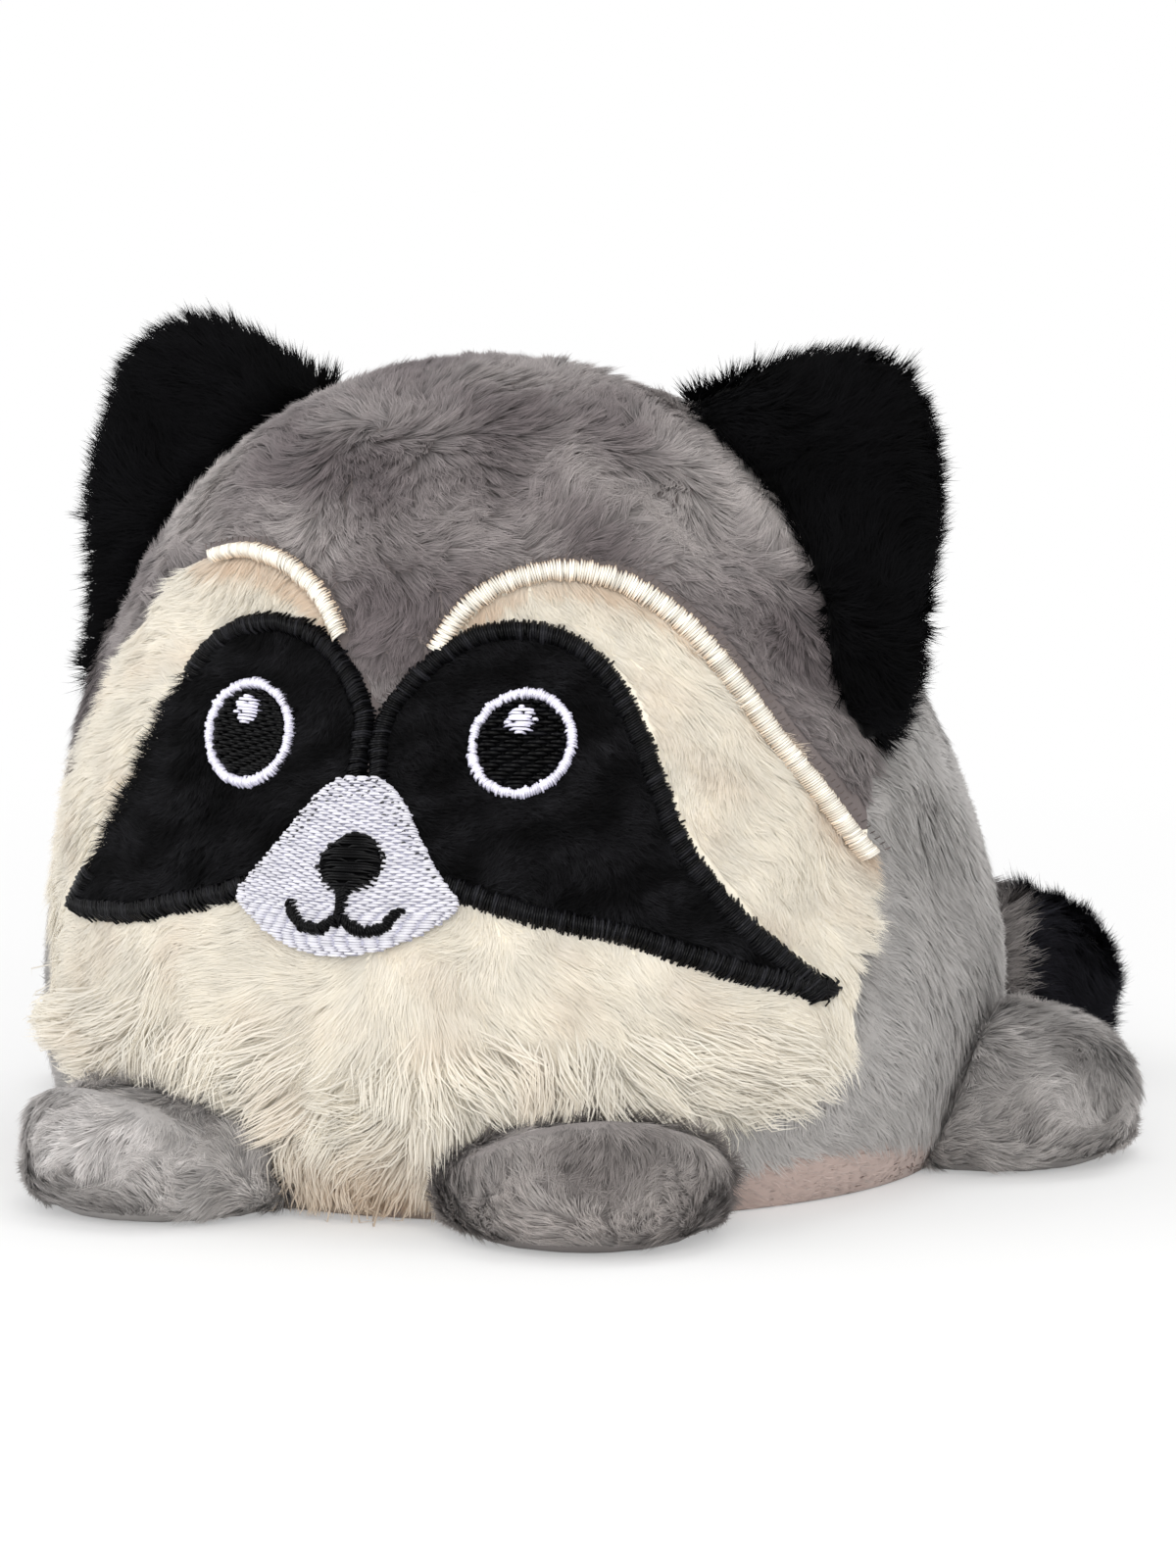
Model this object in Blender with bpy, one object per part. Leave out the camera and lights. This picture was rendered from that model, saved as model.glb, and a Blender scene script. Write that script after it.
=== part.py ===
"""A small round plush raccoon that sits on the floor.

The head and the body are one stuffed ball with a flat base. Its front carries a grey
forehead panel and a cream face panel, and on them lie two black eye patches, a stitched
muzzle and satin-stitched edges. The ears stand in the seam between front and back, four
stuffed feet and a two-colour tail lie round the base.

Metres, +Z up. The raccoon looks along -Y, and its own left is +X. The origin is the
middle of the flat base.
"""
import math

import bmesh
import bpy
import numpy as np
from mathutils import Vector

# Clearance between pieces that touch
GAP = 0.0003

# Ball of the head and the body: half sizes in plan, heights above the floor
SIDE = 0.058
FRONT = 0.055
BACK = 0.063
HEIGHT = 0.0982
WAIST_Z = 0.020
SAG = 0.034
FRONT_CROWN_POWER = 2.45
BACK_CROWN_POWER = 1.5
FRONT_FLOOR_POWER = 2.2
BACK_FLOOR_POWER = 3.2
BACK_PLAN_POWER = 2.8

# Hollow of the brow, roll of the cheeks and bulge of the muzzle on the ball's front
BROW_HOLLOW = 0.0079
BROW_HOLLOW_Z = 0.060
BROW_HOLLOW_SPREAD = 0.020
CHEEK_ROLL = 0.003
CHEEK_ROLL_SPREAD = 0.009
MUZZLE_BULGE = 0.004
MUZZLE_BULGE_Z = 0.037
MUZZLE_BULGE_WIDTH = 0.011
MUZZLE_BULGE_SPREAD = 0.009

# The ball that the seams and the face are drawn for: they stretch with the real one
PATTERN_SIDE = 0.058
PATTERN_FRONT = 0.055
PATTERN_HEIGHT = 0.0982

# Seam between the front panels and the grey back, as (y, z) from crown to floor
FRONT_SEAM = [
    (0.0040, 0.1050), (-0.0015, 0.0930), (-0.0080, 0.0840), (-0.0125, 0.0720),
    (-0.0135, 0.0600), (-0.0150, 0.0500), (-0.0185, 0.0400), (-0.0235, 0.0270),
    (-0.0290, 0.0180), (-0.0400, 0.0115), (-0.0460, 0.0070), (-0.0490, 0.0035),
    (-0.0700, 0.0030),
]

# Upper edge of the base panel, as (y, z) from front to back
BASE_SEAM = [
    (-0.0700, 0.0026), (-0.0480, 0.0032), (-0.0330, 0.0070), (-0.0180, 0.0074), (-0.0040, 0.0056),
    (0.0100, 0.0018), (0.0800, 0.0018),
]

# Depths below the ball's surface: pile of the panels, and the layers of the face
PILE = 0.0040
PATCH_DEPTH = 0.0009
PATCH_THICKNESS = 0.0012
EDGE_HEIGHT = 0.0020
STITCH_THICKNESS = 0.0009
MUZZLE_THICKNESS = 0.0012
BROW_DEPTH = 0.0010
BROW_THICKNESS = 0.0013

# Line of the brow, centre to cheek, as (x, z) seen from the front
BROW_LINE = [
    (0.0060, 0.0662), (0.0083, 0.0700), (0.0115, 0.0729), (0.0155, 0.0748), (0.0205, 0.0755),
    (0.0255, 0.0744), (0.0300, 0.0718), (0.0345, 0.0676), (0.0390, 0.0618), (0.0433, 0.0555),
    (0.0472, 0.0500), (0.0505, 0.0445), (0.0521, 0.0418),
]
BROW_WIDTH = 0.0023
BROW_RAISE_LEFT = -0.0007
BROW_RAISE_RIGHT = 0.0006

# Eye patch, outer edge of its border, as (x, z): the inner side, which is not the same left and
# right because the muzzle sits off the middle, then rounded top and outer side, then underside
PATCH_INNER_LEFT = [(-0.0003, 0.0530), (-0.0002, 0.0575), (0.0012, 0.0608), (0.0044, 0.0645)]
PATCH_INNER_RIGHT = [(0.0015, 0.0530), (0.0016, 0.0575), (0.0027, 0.0608), (0.0051, 0.0645)]
PATCH_TOP = [
    (0.0085, 0.0676), (0.0125, 0.0690),
    (0.0165, 0.0692), (0.0208, 0.0682), (0.0245, 0.0658), (0.0272, 0.0627), (0.0292, 0.0595),
    (0.0315, 0.0548), (0.0336, 0.0500), (0.0360, 0.0450), (0.0390, 0.0405), (0.0425, 0.0360),
]
PATCH_UNDERSIDE = [
    (0.0310, 0.0330), (0.0250, 0.0345), (0.0197, 0.0358), (0.0145, 0.0374), (0.0060, 0.0410),
    (0.0008, 0.0460),
]
PATCH_TIP_LEFT = (0.0505, 0.0258)
PATCH_TIP_RIGHT = (0.0432, 0.0322)
EDGE_WIDTH = 0.0026

# Stitched muzzle, one half of its outline, as (x, z) from the top to the chin
MUZZLE_X = -0.0010
MUZZLE_HALF = [
    (0.0000, 0.0513), (0.0028, 0.0508), (0.0056, 0.0485), (0.0078, 0.0455), (0.0102, 0.0422),
    (0.0126, 0.0393), (0.0136, 0.0376), (0.0122, 0.0361), (0.0092, 0.0343), (0.0050, 0.0327),
    (0.0000, 0.0321),
]
NOSE_SHIFT = 0.0012
NOSE_Z = 0.0419
NOSE_HALF_WIDTH = 0.0039
NOSE_HALF_HEIGHT = 0.0030
MOUTH_HALF = [(0.0000, 0.0364), (0.0022, 0.0351), (0.0047, 0.0353), (0.0066, 0.0374)]
MOUTH_WIDTH = 0.0014

# Eyes
EYE_X = 0.0168
EYE_Z = 0.0554
EYE_RADIUS = 0.0061
RING_WIDTH = 0.0012
HIGHLIGHT_RADIUS = 0.0020
HIGHLIGHT_SHIFT_X = -0.0003
HIGHLIGHT_SHIFT_Z = 0.0024

# Ears: where the front seam takes them, how far each is swept back and raised along the seam,
# and their outline as (along, out) shares from the root's middle
EAR_ROOT_TOP_Z = 0.0925
EAR_ROOT_FOOT_Z = 0.0540
EAR_LENGTH = 0.048
EAR_REACH = 0.0265
EAR_THICKNESS = 0.011
EAR_SWEEP_LEFT = math.radians(30)
EAR_SWEEP_RIGHT = math.radians(12)
EAR_RAISE_LEFT = 0.0
EAR_RAISE_RIGHT = 0.0024
EAR_OUTLINE = [
    (-0.53, -0.18), (-0.53, 0.04), (-0.48, 0.20), (-0.40, 0.33), (-0.29, 0.48), (-0.17, 0.64),
    (-0.05, 0.78), (0.11, 0.91), (0.23, 0.97), (0.34, 0.94), (0.42, 0.83), (0.47, 0.66),
    (0.50, 0.42), (0.51, 0.20), (0.50, -0.15), (0.38, -0.34), (0.00, -0.50), (-0.38, -0.38),
]

# Section of a stuffed flap, as (share of its outline, share of its thickness), and its swell
FLAP_SECTION = [(0.72, 1.0), (0.86, 0.75), (0.96, 0.42)]
FLAP_SWELL = 1.12

# Feet: turn from the front, then (how far the middle stands out of the ball, half length,
# half width, height)
FRONT_PAW_TURN = math.radians(29)
FRONT_PAW = (-0.0016, 0.0185, 0.0172, 0.0195)
HIND_FOOT_TURN_LEFT = math.radians(104)
HIND_FOOT_TURN_RIGHT = math.radians(118)
HIND_FOOT = (0.0005, 0.0185, 0.0180, 0.0190)
FOOT_MIDDLE = 0.44
FOOT_ROUNDING = 0.8

# Tail: turn of its root from the front, the way it swings to the left, and its thickness
TAIL_ROOT_TURN = math.radians(168)
TAIL_REACH_BACK = 0.026
TAIL_END_TURN = math.radians(139)
TAIL_END_REACH = 0.0232
TAIL_RADIUS = 0.0125
TAIL_ROOT_SHARE = 0.78
TAIL_SWELL_SHARE = 0.5
TAIL_GREY_SHARE = 0.78
TAIL_BLUNT_SHARE = 0.85

# Fineness of the round forms
BALL_SEGMENTS = 36
BALL_RINGS = 17
FOOT_SEGMENTS = 16
FOOT_RINGS = 9
TAIL_SIDES = 16
TAIL_STEPS = 8
TAIL_END_STEPS = 4
CURVE_STEPS = 2
LONGEST_CORNER = 3.0
SHARP_EDGE = math.radians(40)
FAR = 0.2
PAST_AXIS = 0.0013

# Finishes: colour, roughness
GREY_PLUSH = ((0.31, 0.29, 0.28), 0.95)
DARK_GREY_PLUSH = ((0.19, 0.17, 0.17), 0.95)
CREAM_PLUSH = ((0.78, 0.72, 0.58), 0.95)
BEIGE_PLUSH = ((0.40, 0.34, 0.31), 0.95)
BLACK_PLUSH = ((0.006, 0.006, 0.007), 0.90)
BLACK_THREAD = ((0.008, 0.008, 0.009), 0.45)
CREAM_THREAD = ((0.86, 0.82, 0.74), 0.40)
WHITE_THREAD = ((0.72, 0.73, 0.86), 0.40)

# Finished pieces, in the order they are built
KEPT = []


def ball_radius(angle, z):
    """Distance of the ball's surface from the axis; angle 0 is the front, and z the height."""
    ahead = np.cos(angle)
    across = np.abs(np.sin(angle))
    rise = np.clip((z - WAIST_Z) / (HEIGHT - WAIST_Z), 0, 1)
    drop = np.clip((WAIST_Z - z) / SAG, 0, 1)
    share = (1 - ahead) / 2
    backward = share**2 * (3 - 2 * share)
    floor_power = FRONT_FLOOR_POWER + (BACK_FLOOR_POWER - FRONT_FLOOR_POWER) * backward
    crown_power = FRONT_CROWN_POWER + (BACK_CROWN_POWER - FRONT_CROWN_POWER) * backward
    crown = (1 - rise**crown_power) ** (1 / crown_power)
    level = np.where(z > WAIST_Z, crown, (1 - drop**floor_power) ** (1 / floor_power))
    plan_power = np.where(ahead > 0, 2.0, BACK_PLAN_POWER)
    depth = np.where(ahead > 0, FRONT, BACK)
    plan = ((np.abs(ahead) / depth) ** plan_power + (across / SIDE) ** plan_power) ** (-1 / plan_power)
    facing = np.clip(ahead, 0, 1)
    hollow = BROW_HOLLOW * np.exp(-((z - BROW_HOLLOW_Z) / BROW_HOLLOW_SPREAD) ** 2) * facing**2
    roll_reach = np.clip(np.cos(0.8 * angle), 0, 1)
    roll = CHEEK_ROLL * np.exp(-((z - WAIST_Z) / CHEEK_ROLL_SPREAD) ** 2) * roll_reach
    sideways = np.exp(-((plan * level * np.sin(angle)) / MUZZLE_BULGE_WIDTH) ** 2)
    upright = np.exp(-((z - MUZZLE_BULGE_Z) / MUZZLE_BULGE_SPREAD) ** 2)
    bulge = MUZZLE_BULGE * sideways * upright * (ahead > 0)
    return level * (plan - hollow + roll + bulge)


def ball_point(angle, lift):
    """Point of the ball's surface; lift runs from -90 degrees at the bottom to 90 at the crown."""
    rise = np.sin(lift)
    z = WAIST_Z + np.where(rise > 0, (HEIGHT - WAIST_Z) * rise, SAG * rise)
    radius = ball_radius(angle, z)
    return np.stack([radius * np.sin(angle), -radius * np.cos(angle), z], axis=-1)


def ball_normal(angle, lift):
    """Outward normal of the ball's surface, from two small steps across it."""
    step = 0.001
    around = ball_point(angle + step, lift) - ball_point(angle - step, lift)
    upward = ball_point(angle, lift + step) - ball_point(angle, lift - step)
    normal = np.cross(around, upward)
    return normal / np.linalg.norm(normal, axis=-1, keepdims=True)


def new_object(name, vertices, faces):
    """An object with the given mesh, its faces turned outwards."""
    mesh = bpy.data.meshes.new(name)
    mesh.from_pydata([tuple(vertex) for vertex in vertices], [], faces)
    work = bmesh.new()
    work.from_mesh(mesh)
    bmesh.ops.recalc_face_normals(work, faces=work.faces)
    bmesh.ops.triangulate(work, faces=work.faces)
    work.to_mesh(mesh)
    work.free()
    piece = bpy.data.objects.new(name, mesh)
    bpy.context.scene.collection.objects.link(piece)
    return piece


def closed_form(name, rings, start, end):
    """A closed form from rings of points, with a point at its start and one at its end."""
    count = len(rings[0])
    vertices = [start] + [point for ring in rings for point in ring] + [end]
    last = len(vertices) - 1
    faces = []
    for i in range(count):
        j = (i + 1) % count
        faces.append((0, 1 + j, 1 + i))
        for row in range(len(rings) - 1):
            low, high = 1 + row * count, 1 + (row + 1) * count
            faces.append((low + i, low + j, high + j, high + i))
        top = last - count
        faces.append((top + i, top + j, last))
    return new_object(name, vertices, faces)


def trimmed(piece, point, direction):
    """A closed form cut by a plane and closed again, with what lies ahead of the plane kept."""
    work = bmesh.new()
    work.from_mesh(piece.data)
    everything = work.verts[:] + work.edges[:] + work.faces[:]
    bmesh.ops.bisect_plane(work, geom=everything, plane_co=point, plane_no=direction, clear_inner=True)
    open_edges = [edge for edge in work.edges if edge.is_boundary]
    bmesh.ops.contextual_create(work, geom=open_edges)
    bmesh.ops.recalc_face_normals(work, faces=work.faces)
    work.to_mesh(piece.data)
    work.free()
    return piece


def on_floor(piece):
    """A form cut flat where it meets the floor."""
    return trimmed(piece, (0, 0, 0), (0, 0, 1))


def ball(height_off_surface, rests=True):
    """The ball grown by a height off its surface, or shrunk where that is negative."""
    angles = (np.arange(BALL_SEGMENTS) + 0.5) * 2 * math.pi / BALL_SEGMENTS
    rings = []
    for lift in np.linspace(-math.pi / 2, math.pi / 2, BALL_RINGS + 2)[1:-1]:
        lifts = np.full_like(angles, lift)
        rings.append(ball_point(angles, lifts) + height_off_surface * ball_normal(angles, lifts))
    start = (0, 0, WAIST_Z - SAG - height_off_surface)
    end = (0, 0, HEIGHT + height_off_surface)
    piece = closed_form("ball", rings, start, end)
    return on_floor(piece) if rests else piece


def combine(target, tool, operation):
    """Cut, keep or add the tool on the target, and leave the result in the target's mesh."""
    modifier = target.modifiers.new("cut", "BOOLEAN")
    modifier.operation = operation
    modifier.solver = "EXACT"
    modifier.use_hole_tolerant = True
    modifier.object = tool
    seen = target.evaluated_get(bpy.context.evaluated_depsgraph_get())
    result = bpy.data.meshes.new_from_object(seen)
    target.modifiers.clear()
    target.data = result
    return target


def duplicate(piece):
    """A copy of an object with its own mesh."""
    twin = bpy.data.objects.new(piece.name, piece.data.copy())
    bpy.context.scene.collection.objects.link(twin)
    return twin


def smooth_path(points, closed=False):
    """A curve through the points, with CURVE_STEPS pieces between two of them."""
    points = np.array(points, float)
    count = len(points)
    spans = count if closed else count - 1
    curve = []
    for i in range(spans):
        if closed:
            before, here, there, after = (points[(i + k) % count] for k in (-1, 0, 1, 2))
        else:
            before, here = points[max(i - 1, 0)], points[i]
            there, after = points[i + 1], points[min(i + 2, count - 1)]
        for step in range(CURVE_STEPS):
            t = step / CURVE_STEPS
            curve.append(0.5 * (2 * here + (there - before) * t
                                + (2 * before - 5 * here + 4 * there - after) * t**2
                                + (3 * here - before - 3 * there + after) * t**3))
    if not closed:
        curve.append(points[-1])
    return np.array(curve)


def side_steps(path):
    """Unit vectors to the right of an open path's run, one for each of its points."""
    along = np.gradient(path, axis=0)
    along = along / np.linalg.norm(along, axis=1, keepdims=True)
    return np.stack([along[:, 1], -along[:, 0]], axis=1)


def signed_area(loop):
    """Area inside a loop, positive where it runs against the clock."""
    ahead = np.roll(loop, -1, axis=0)
    return 0.5 * float(np.sum(loop[:, 0] * ahead[:, 1] - ahead[:, 0] * loop[:, 1]))


def distance_to_loop(points, loop):
    """Least distance of each point from a closed loop of straight runs."""
    starts = loop[None, :, :]
    runs = (np.roll(loop, -1, axis=0) - loop)[None, :, :]
    away = points[:, None, :] - starts
    share = np.clip(np.sum(away * runs, axis=2) / np.sum(runs * runs, axis=2), 0, 1)
    return np.linalg.norm(away - share[:, :, None] * runs, axis=2).min(axis=1)


def grown(loop, distance):
    """A loop moved outwards by a distance, or inwards where that is negative, corners kept."""
    runs = np.roll(loop, -1, axis=0) - loop
    runs = runs / np.linalg.norm(runs, axis=1, keepdims=True)
    after = np.stack([runs[:, 1], -runs[:, 0]], axis=1) * math.copysign(1, signed_area(loop))
    before = np.roll(after, 1, axis=0)
    corner = after + before
    corner = corner / np.linalg.norm(corner, axis=1, keepdims=True)
    stretch = 1 / np.maximum(np.sum(corner * after, axis=1, keepdims=True), 1 / LONGEST_CORNER)
    moved = loop + distance * stretch * corner
    return moved[distance_to_loop(moved, loop) > 0.97 * abs(distance)]


def band(path, width):
    """Outline of a strip of a width along a path, with blunt ends."""
    steps = side_steps(path) * width / 2
    return np.concatenate([path + steps, (path - steps)[::-1]])


def circle(centre_x, centre_z, half_width, half_height, count=24):
    """Points of an ellipse against the clock."""
    turns = np.linspace(0, 2 * math.pi, count, endpoint=False)
    turning = np.stack([half_width * np.cos(turns), half_height * np.sin(turns)], axis=1)
    return turning + (centre_x, centre_z)


def drawn(points):
    """Points of the face drawing, as (x, z), stretched to the real ball."""
    return np.array(points, float) * (SIDE / PATTERN_SIDE, HEIGHT / PATTERN_HEIGHT)


def in_profile(points):
    """Points of a seam in side view, as (y, z), stretched to the real ball."""
    return np.array(points, float) * (FRONT / PATTERN_FRONT, HEIGHT / PATTERN_HEIGHT)


def mirrored(points):
    """Points (x, z) seen in the raccoon's plane of symmetry, in the same turning sense."""
    return (points * (-1, 1))[::-1]


def prism(name, outline, place):
    """A closed prism: place turns an outline point and 0 or 1 for the end into a position."""
    count = len(outline)
    vertices = [place(point, 0) for point in outline] + [place(point, 1) for point in outline]
    sides = [(i, (i + 1) % count, count + (i + 1) % count, count + i) for i in range(count)]
    ends = [tuple(range(count)), tuple(range(count, 2 * count))]
    return new_object(name, vertices, sides + ends)


def front_prism(outline):
    """A cutter from an outline (x, z), from far ahead of the ball to just past its axis."""
    ends = (-FAR, PAST_AXIS)
    return prism("front_cutter", outline, lambda point, end: (point[0], ends[end], point[1]))


def cross_prism(outline):
    """A cutter from an outline (y, z), which runs right across the ball."""
    ends = (-FAR, FAR)
    return prism("cross_cutter", outline, lambda point, end: (ends[end], point[0], point[1]))


def front_region(shift):
    """All that lies ahead of the front seam, with the seam moved forwards by a shift."""
    seam = smooth_path(in_profile(FRONT_SEAM))
    seam = seam + shift * side_steps(seam)
    return cross_prism(np.concatenate([seam, [(-FAR, seam[-1][1]), (-FAR, FAR), (seam[0][0], FAR)]]))


def base_region(shift):
    """All that lies under the base panel's seam, with the seam moved up by a shift."""
    seam = in_profile(BASE_SEAM) + (0, shift)
    below = [(FAR, seam[-1][1]), (FAR, -FAR), (-FAR, -FAR), (-FAR, seam[0][1])]
    return cross_prism(np.concatenate([seam, below]))


def seam_place(z):
    """Point at a height where the ball's left side crosses the front seam."""
    profile = in_profile(FRONT_SEAM)[::-1]
    seam_y = float(np.interp(z, profile[:, 1], profile[:, 0]))
    low, high = 0.0, math.pi
    for _ in range(40):
        middle = (low + high) / 2
        if -float(ball_radius(middle, z)) * math.cos(middle) < seam_y:
            low = middle
        else:
            high = middle
    return Vector((float(ball_radius(low, z)) * math.sin(low), seam_y, z))


def layer(outline, bottom, top):
    """A slab over an outline of the face, between two heights off the ball's surface."""
    slab = combine(front_prism(outline), ball(top), "INTERSECT")
    return combine(slab, ball(bottom), "DIFFERENCE")


def pocket(outline, floor):
    """A cutter over an outline of the face, down to a height off the ball's surface."""
    return combine(front_prism(outline), ball(floor), "DIFFERENCE")


def pillow(outline, thickness, place):
    """A stuffed flap: rings shrink from its edge to the middle while its two sides part."""
    middle = outline.mean(axis=0)
    rims = [(share, -part) for share, part in FLAP_SECTION] + [(1.0, 0.0)]
    rims = rims + [(share, part) for share, part in FLAP_SECTION[::-1]]
    rings = []
    for share, part in rims:
        ring = middle + share * (outline - middle)
        rings.append([place(point[0], point[1], part * thickness / 2) for point in ring])
    start = place(middle[0], middle[1], -thickness / 2 * FLAP_SWELL)
    end = place(middle[0], middle[1], thickness / 2 * FLAP_SWELL)
    return closed_form("pillow", rings, start, end)


def foot(turn, stand_out, half_length, half_width, height):
    """A stuffed foot: an egg of a form that points outwards and lies flat on the floor."""
    ahead = Vector((math.sin(turn), -math.cos(turn), 0))
    across = Vector((math.cos(turn), math.sin(turn), 0))
    middle_z = height * FOOT_MIDDLE
    middle = ahead * (float(ball_radius(turn, middle_z)) + stand_out) + Vector((0, 0, middle_z))
    rings = []
    for lift in np.linspace(-math.pi / 2, math.pi / 2, FOOT_RINGS + 2)[1:-1]:
        up = height * (1 - FOOT_MIDDLE) * math.sin(lift)
        ring = []
        for spin in np.linspace(0, 2 * math.pi, FOOT_SEGMENTS, endpoint=False):
            reach = math.cos(lift) ** FOOT_ROUNDING
            ring.append(middle + ahead * (half_length * reach * math.cos(spin))
                        + across * (half_width * reach * math.sin(spin)) + Vector((0, 0, up)))
        rings.append(ring)
    pole = Vector((0, 0, height * (1 - FOOT_MIDDLE)))
    return on_floor(closed_form("foot", rings, middle - pole, middle + pole))


def tail_place(share):
    """Point of the tail's middle line on the floor, at a share of its run from inside the ball."""
    outward = Vector((math.sin(TAIL_ROOT_TURN), -math.cos(TAIL_ROOT_TURN), 0))
    root_radius = float(ball_radius(TAIL_ROOT_TURN, TAIL_RADIUS))
    root = outward * (root_radius - TAIL_RADIUS)
    knee = outward * (root_radius + TAIL_REACH_BACK)
    end_radius = float(ball_radius(TAIL_END_TURN, TAIL_RADIUS)) + TAIL_END_REACH
    end = Vector((math.sin(TAIL_END_TURN), -math.cos(TAIL_END_TURN), 0)) * end_radius
    return root * (1 - share) ** 2 + knee * 2 * share * (1 - share) + end * share**2


def tail_heading(share):
    """Direction of the tail's middle line at a share of its run."""
    step = 0.01
    return (tail_place(share + step) - tail_place(share - step)).normalized()


def tail_form():
    """The whole tail: a tube that thickens from its root and ends round, lying on the floor."""
    shares = list(np.linspace(0, TAIL_BLUNT_SHARE, TAIL_STEPS))
    for turn in np.linspace(0, math.pi / 2, TAIL_END_STEPS + 1, endpoint=False)[1:]:
        shares.append(TAIL_BLUNT_SHARE + (1 - TAIL_BLUNT_SHARE) * math.sin(turn))
    rings = []
    for share in shares:
        heading = tail_heading(share)
        across = Vector((heading.y, -heading.x, 0))
        blunt = math.sqrt(1 - (max(share - TAIL_BLUNT_SHARE, 0) / (1 - TAIL_BLUNT_SHARE)) ** 2)
        thickness = TAIL_ROOT_SHARE + (1 - TAIL_ROOT_SHARE) * min(share / TAIL_SWELL_SHARE, 1)
        radius = TAIL_RADIUS * thickness * blunt
        ring = []
        for spin in np.linspace(0, 2 * math.pi, TAIL_SIDES, endpoint=False):
            lift = Vector((0, 0, TAIL_RADIUS + radius * math.sin(spin)))
            ring.append(tail_place(share) + across * (radius * math.cos(spin)) + lift)
        rings.append(ring)
    height = Vector((0, 0, TAIL_RADIUS))
    return closed_form("tail", rings, tail_place(0) + height, tail_place(1) + height)


def finish(piece, name, finish_values):
    """Name a piece, clean and triangulate its mesh, and give it its own material."""
    colour, roughness = finish_values
    work = bmesh.new()
    work.from_mesh(piece.data)
    bmesh.ops.triangulate(work, faces=work.faces)
    work.to_mesh(piece.data)
    work.free()
    piece.name = name
    piece.data.name = name
    material = bpy.data.materials.new(name)
    material.use_nodes = True
    shader = material.node_tree.nodes["Principled BSDF"]
    shader.inputs["Base Color"].default_value = (*colour, 1)
    shader.inputs["Roughness"].default_value = roughness
    shader.inputs["Metallic"].default_value = 0.0
    piece.data.materials.clear()
    piece.data.materials.append(material)
    piece.data.shade_smooth()
    piece.data.set_sharp_from_angle(angle=SHARP_EDGE)
    KEPT.append(piece)
    return piece


def patch_outline(side):
    """Outer edge of an eye patch's border, on the left (+1) or on the right (-1)."""
    inner = PATCH_INNER_LEFT if side > 0 else PATCH_INNER_RIGHT
    tip = PATCH_TIP_LEFT if side > 0 else PATCH_TIP_RIGHT
    loop = smooth_path(drawn(inner + PATCH_TOP + [tip] + PATCH_UNDERSIDE), closed=True)
    return loop if side > 0 else mirrored(loop)


def brow_path(side):
    """Line of the brow on the left (+1) or on the right (-1), where it sits a little higher."""
    path = smooth_path(drawn(BROW_LINE)) + (0, BROW_RAISE_LEFT if side > 0 else BROW_RAISE_RIGHT)
    return path if side > 0 else path * (-1, 1)


def cream_outline():
    """Outline of the cream face panel: up to both brow lines, and past the ball elsewhere."""
    under_patch = drawn([(0.0, 0.0440), (0.0050, 0.0500), (0.0080, 0.0580)])
    past = drawn([(0.0580, 0.0330), (0.0900, 0.0300), (0.0900, -0.0200)])
    left = np.concatenate([under_patch, brow_path(1), past])
    right = np.concatenate([under_patch * (-1, 1), brow_path(-1), past * (-1, 1)])
    return np.concatenate([left, right[:0:-1]])


def build_face(front_shell):
    """The two front panels, and the patches and stitching that lie on them."""
    muzzle_half = drawn(MUZZLE_HALF)
    muzzle_loop = np.concatenate([muzzle_half, mirrored(muzzle_half)[1:-1]])
    muzzle_loop = muzzle_loop + drawn([(MUZZLE_X, 0)])
    patch_top = -PATCH_DEPTH
    patch_bottom = patch_top - PATCH_THICKNESS
    muzzle_bottom = patch_top + GAP
    muzzle_top = muzzle_bottom + MUZZLE_THICKNESS
    brow_bottom = -BROW_DEPTH

    muzzle_cutter = front_prism(grown(muzzle_loop, GAP))
    pockets = [pocket(grown(muzzle_loop, GAP), muzzle_bottom - GAP)]
    for side, label in ((1, "left"), (-1, "right")):
        outline = patch_outline(side)
        pockets.append(pocket(grown(outline, GAP), patch_bottom - GAP))
        inner = grown(outline, -EDGE_WIDTH)
        patch = layer(grown(inner, -GAP), patch_bottom, patch_top)
        finish(patch, f"eye_patch_{label}", BLACK_PLUSH)
        edge = layer(outline, patch_bottom, patch_bottom + EDGE_HEIGHT)
        edge = combine(edge, front_prism(inner), "DIFFERENCE")
        edge = combine(edge, muzzle_cutter, "DIFFERENCE")
        finish(edge, f"patch_edge_{label}", BLACK_THREAD)

        strip = band(brow_path(side), BROW_WIDTH)
        brow_edge = layer(strip, brow_bottom, brow_bottom + BROW_THICKNESS)
        brow_edge = combine(brow_edge, front_prism(grown(outline, GAP)), "DIFFERENCE")
        brow_edge = combine(brow_edge, front_region(GAP), "INTERSECT")
        finish(brow_edge, f"brow_edge_{label}", CREAM_THREAD)
        pockets.append(pocket(grown(strip, GAP), brow_bottom - GAP))
        build_eye(side, label, patch_top)

    cream = cream_outline()
    forehead = combine(duplicate(front_shell), front_prism(grown(cream, GAP / 2)), "DIFFERENCE")
    face = combine(duplicate(front_shell), front_prism(grown(cream, -GAP / 2)), "INTERSECT")
    for cutter in pockets:
        combine(forehead, cutter, "DIFFERENCE")
        combine(face, cutter, "DIFFERENCE")
    finish(forehead, "forehead_panel", DARK_GREY_PLUSH)
    finish(face, "face_panel", CREAM_PLUSH)
    finish(layer(muzzle_loop, muzzle_bottom, muzzle_top), "muzzle", WHITE_THREAD)
    build_nose_and_mouth(muzzle_top)


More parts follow.
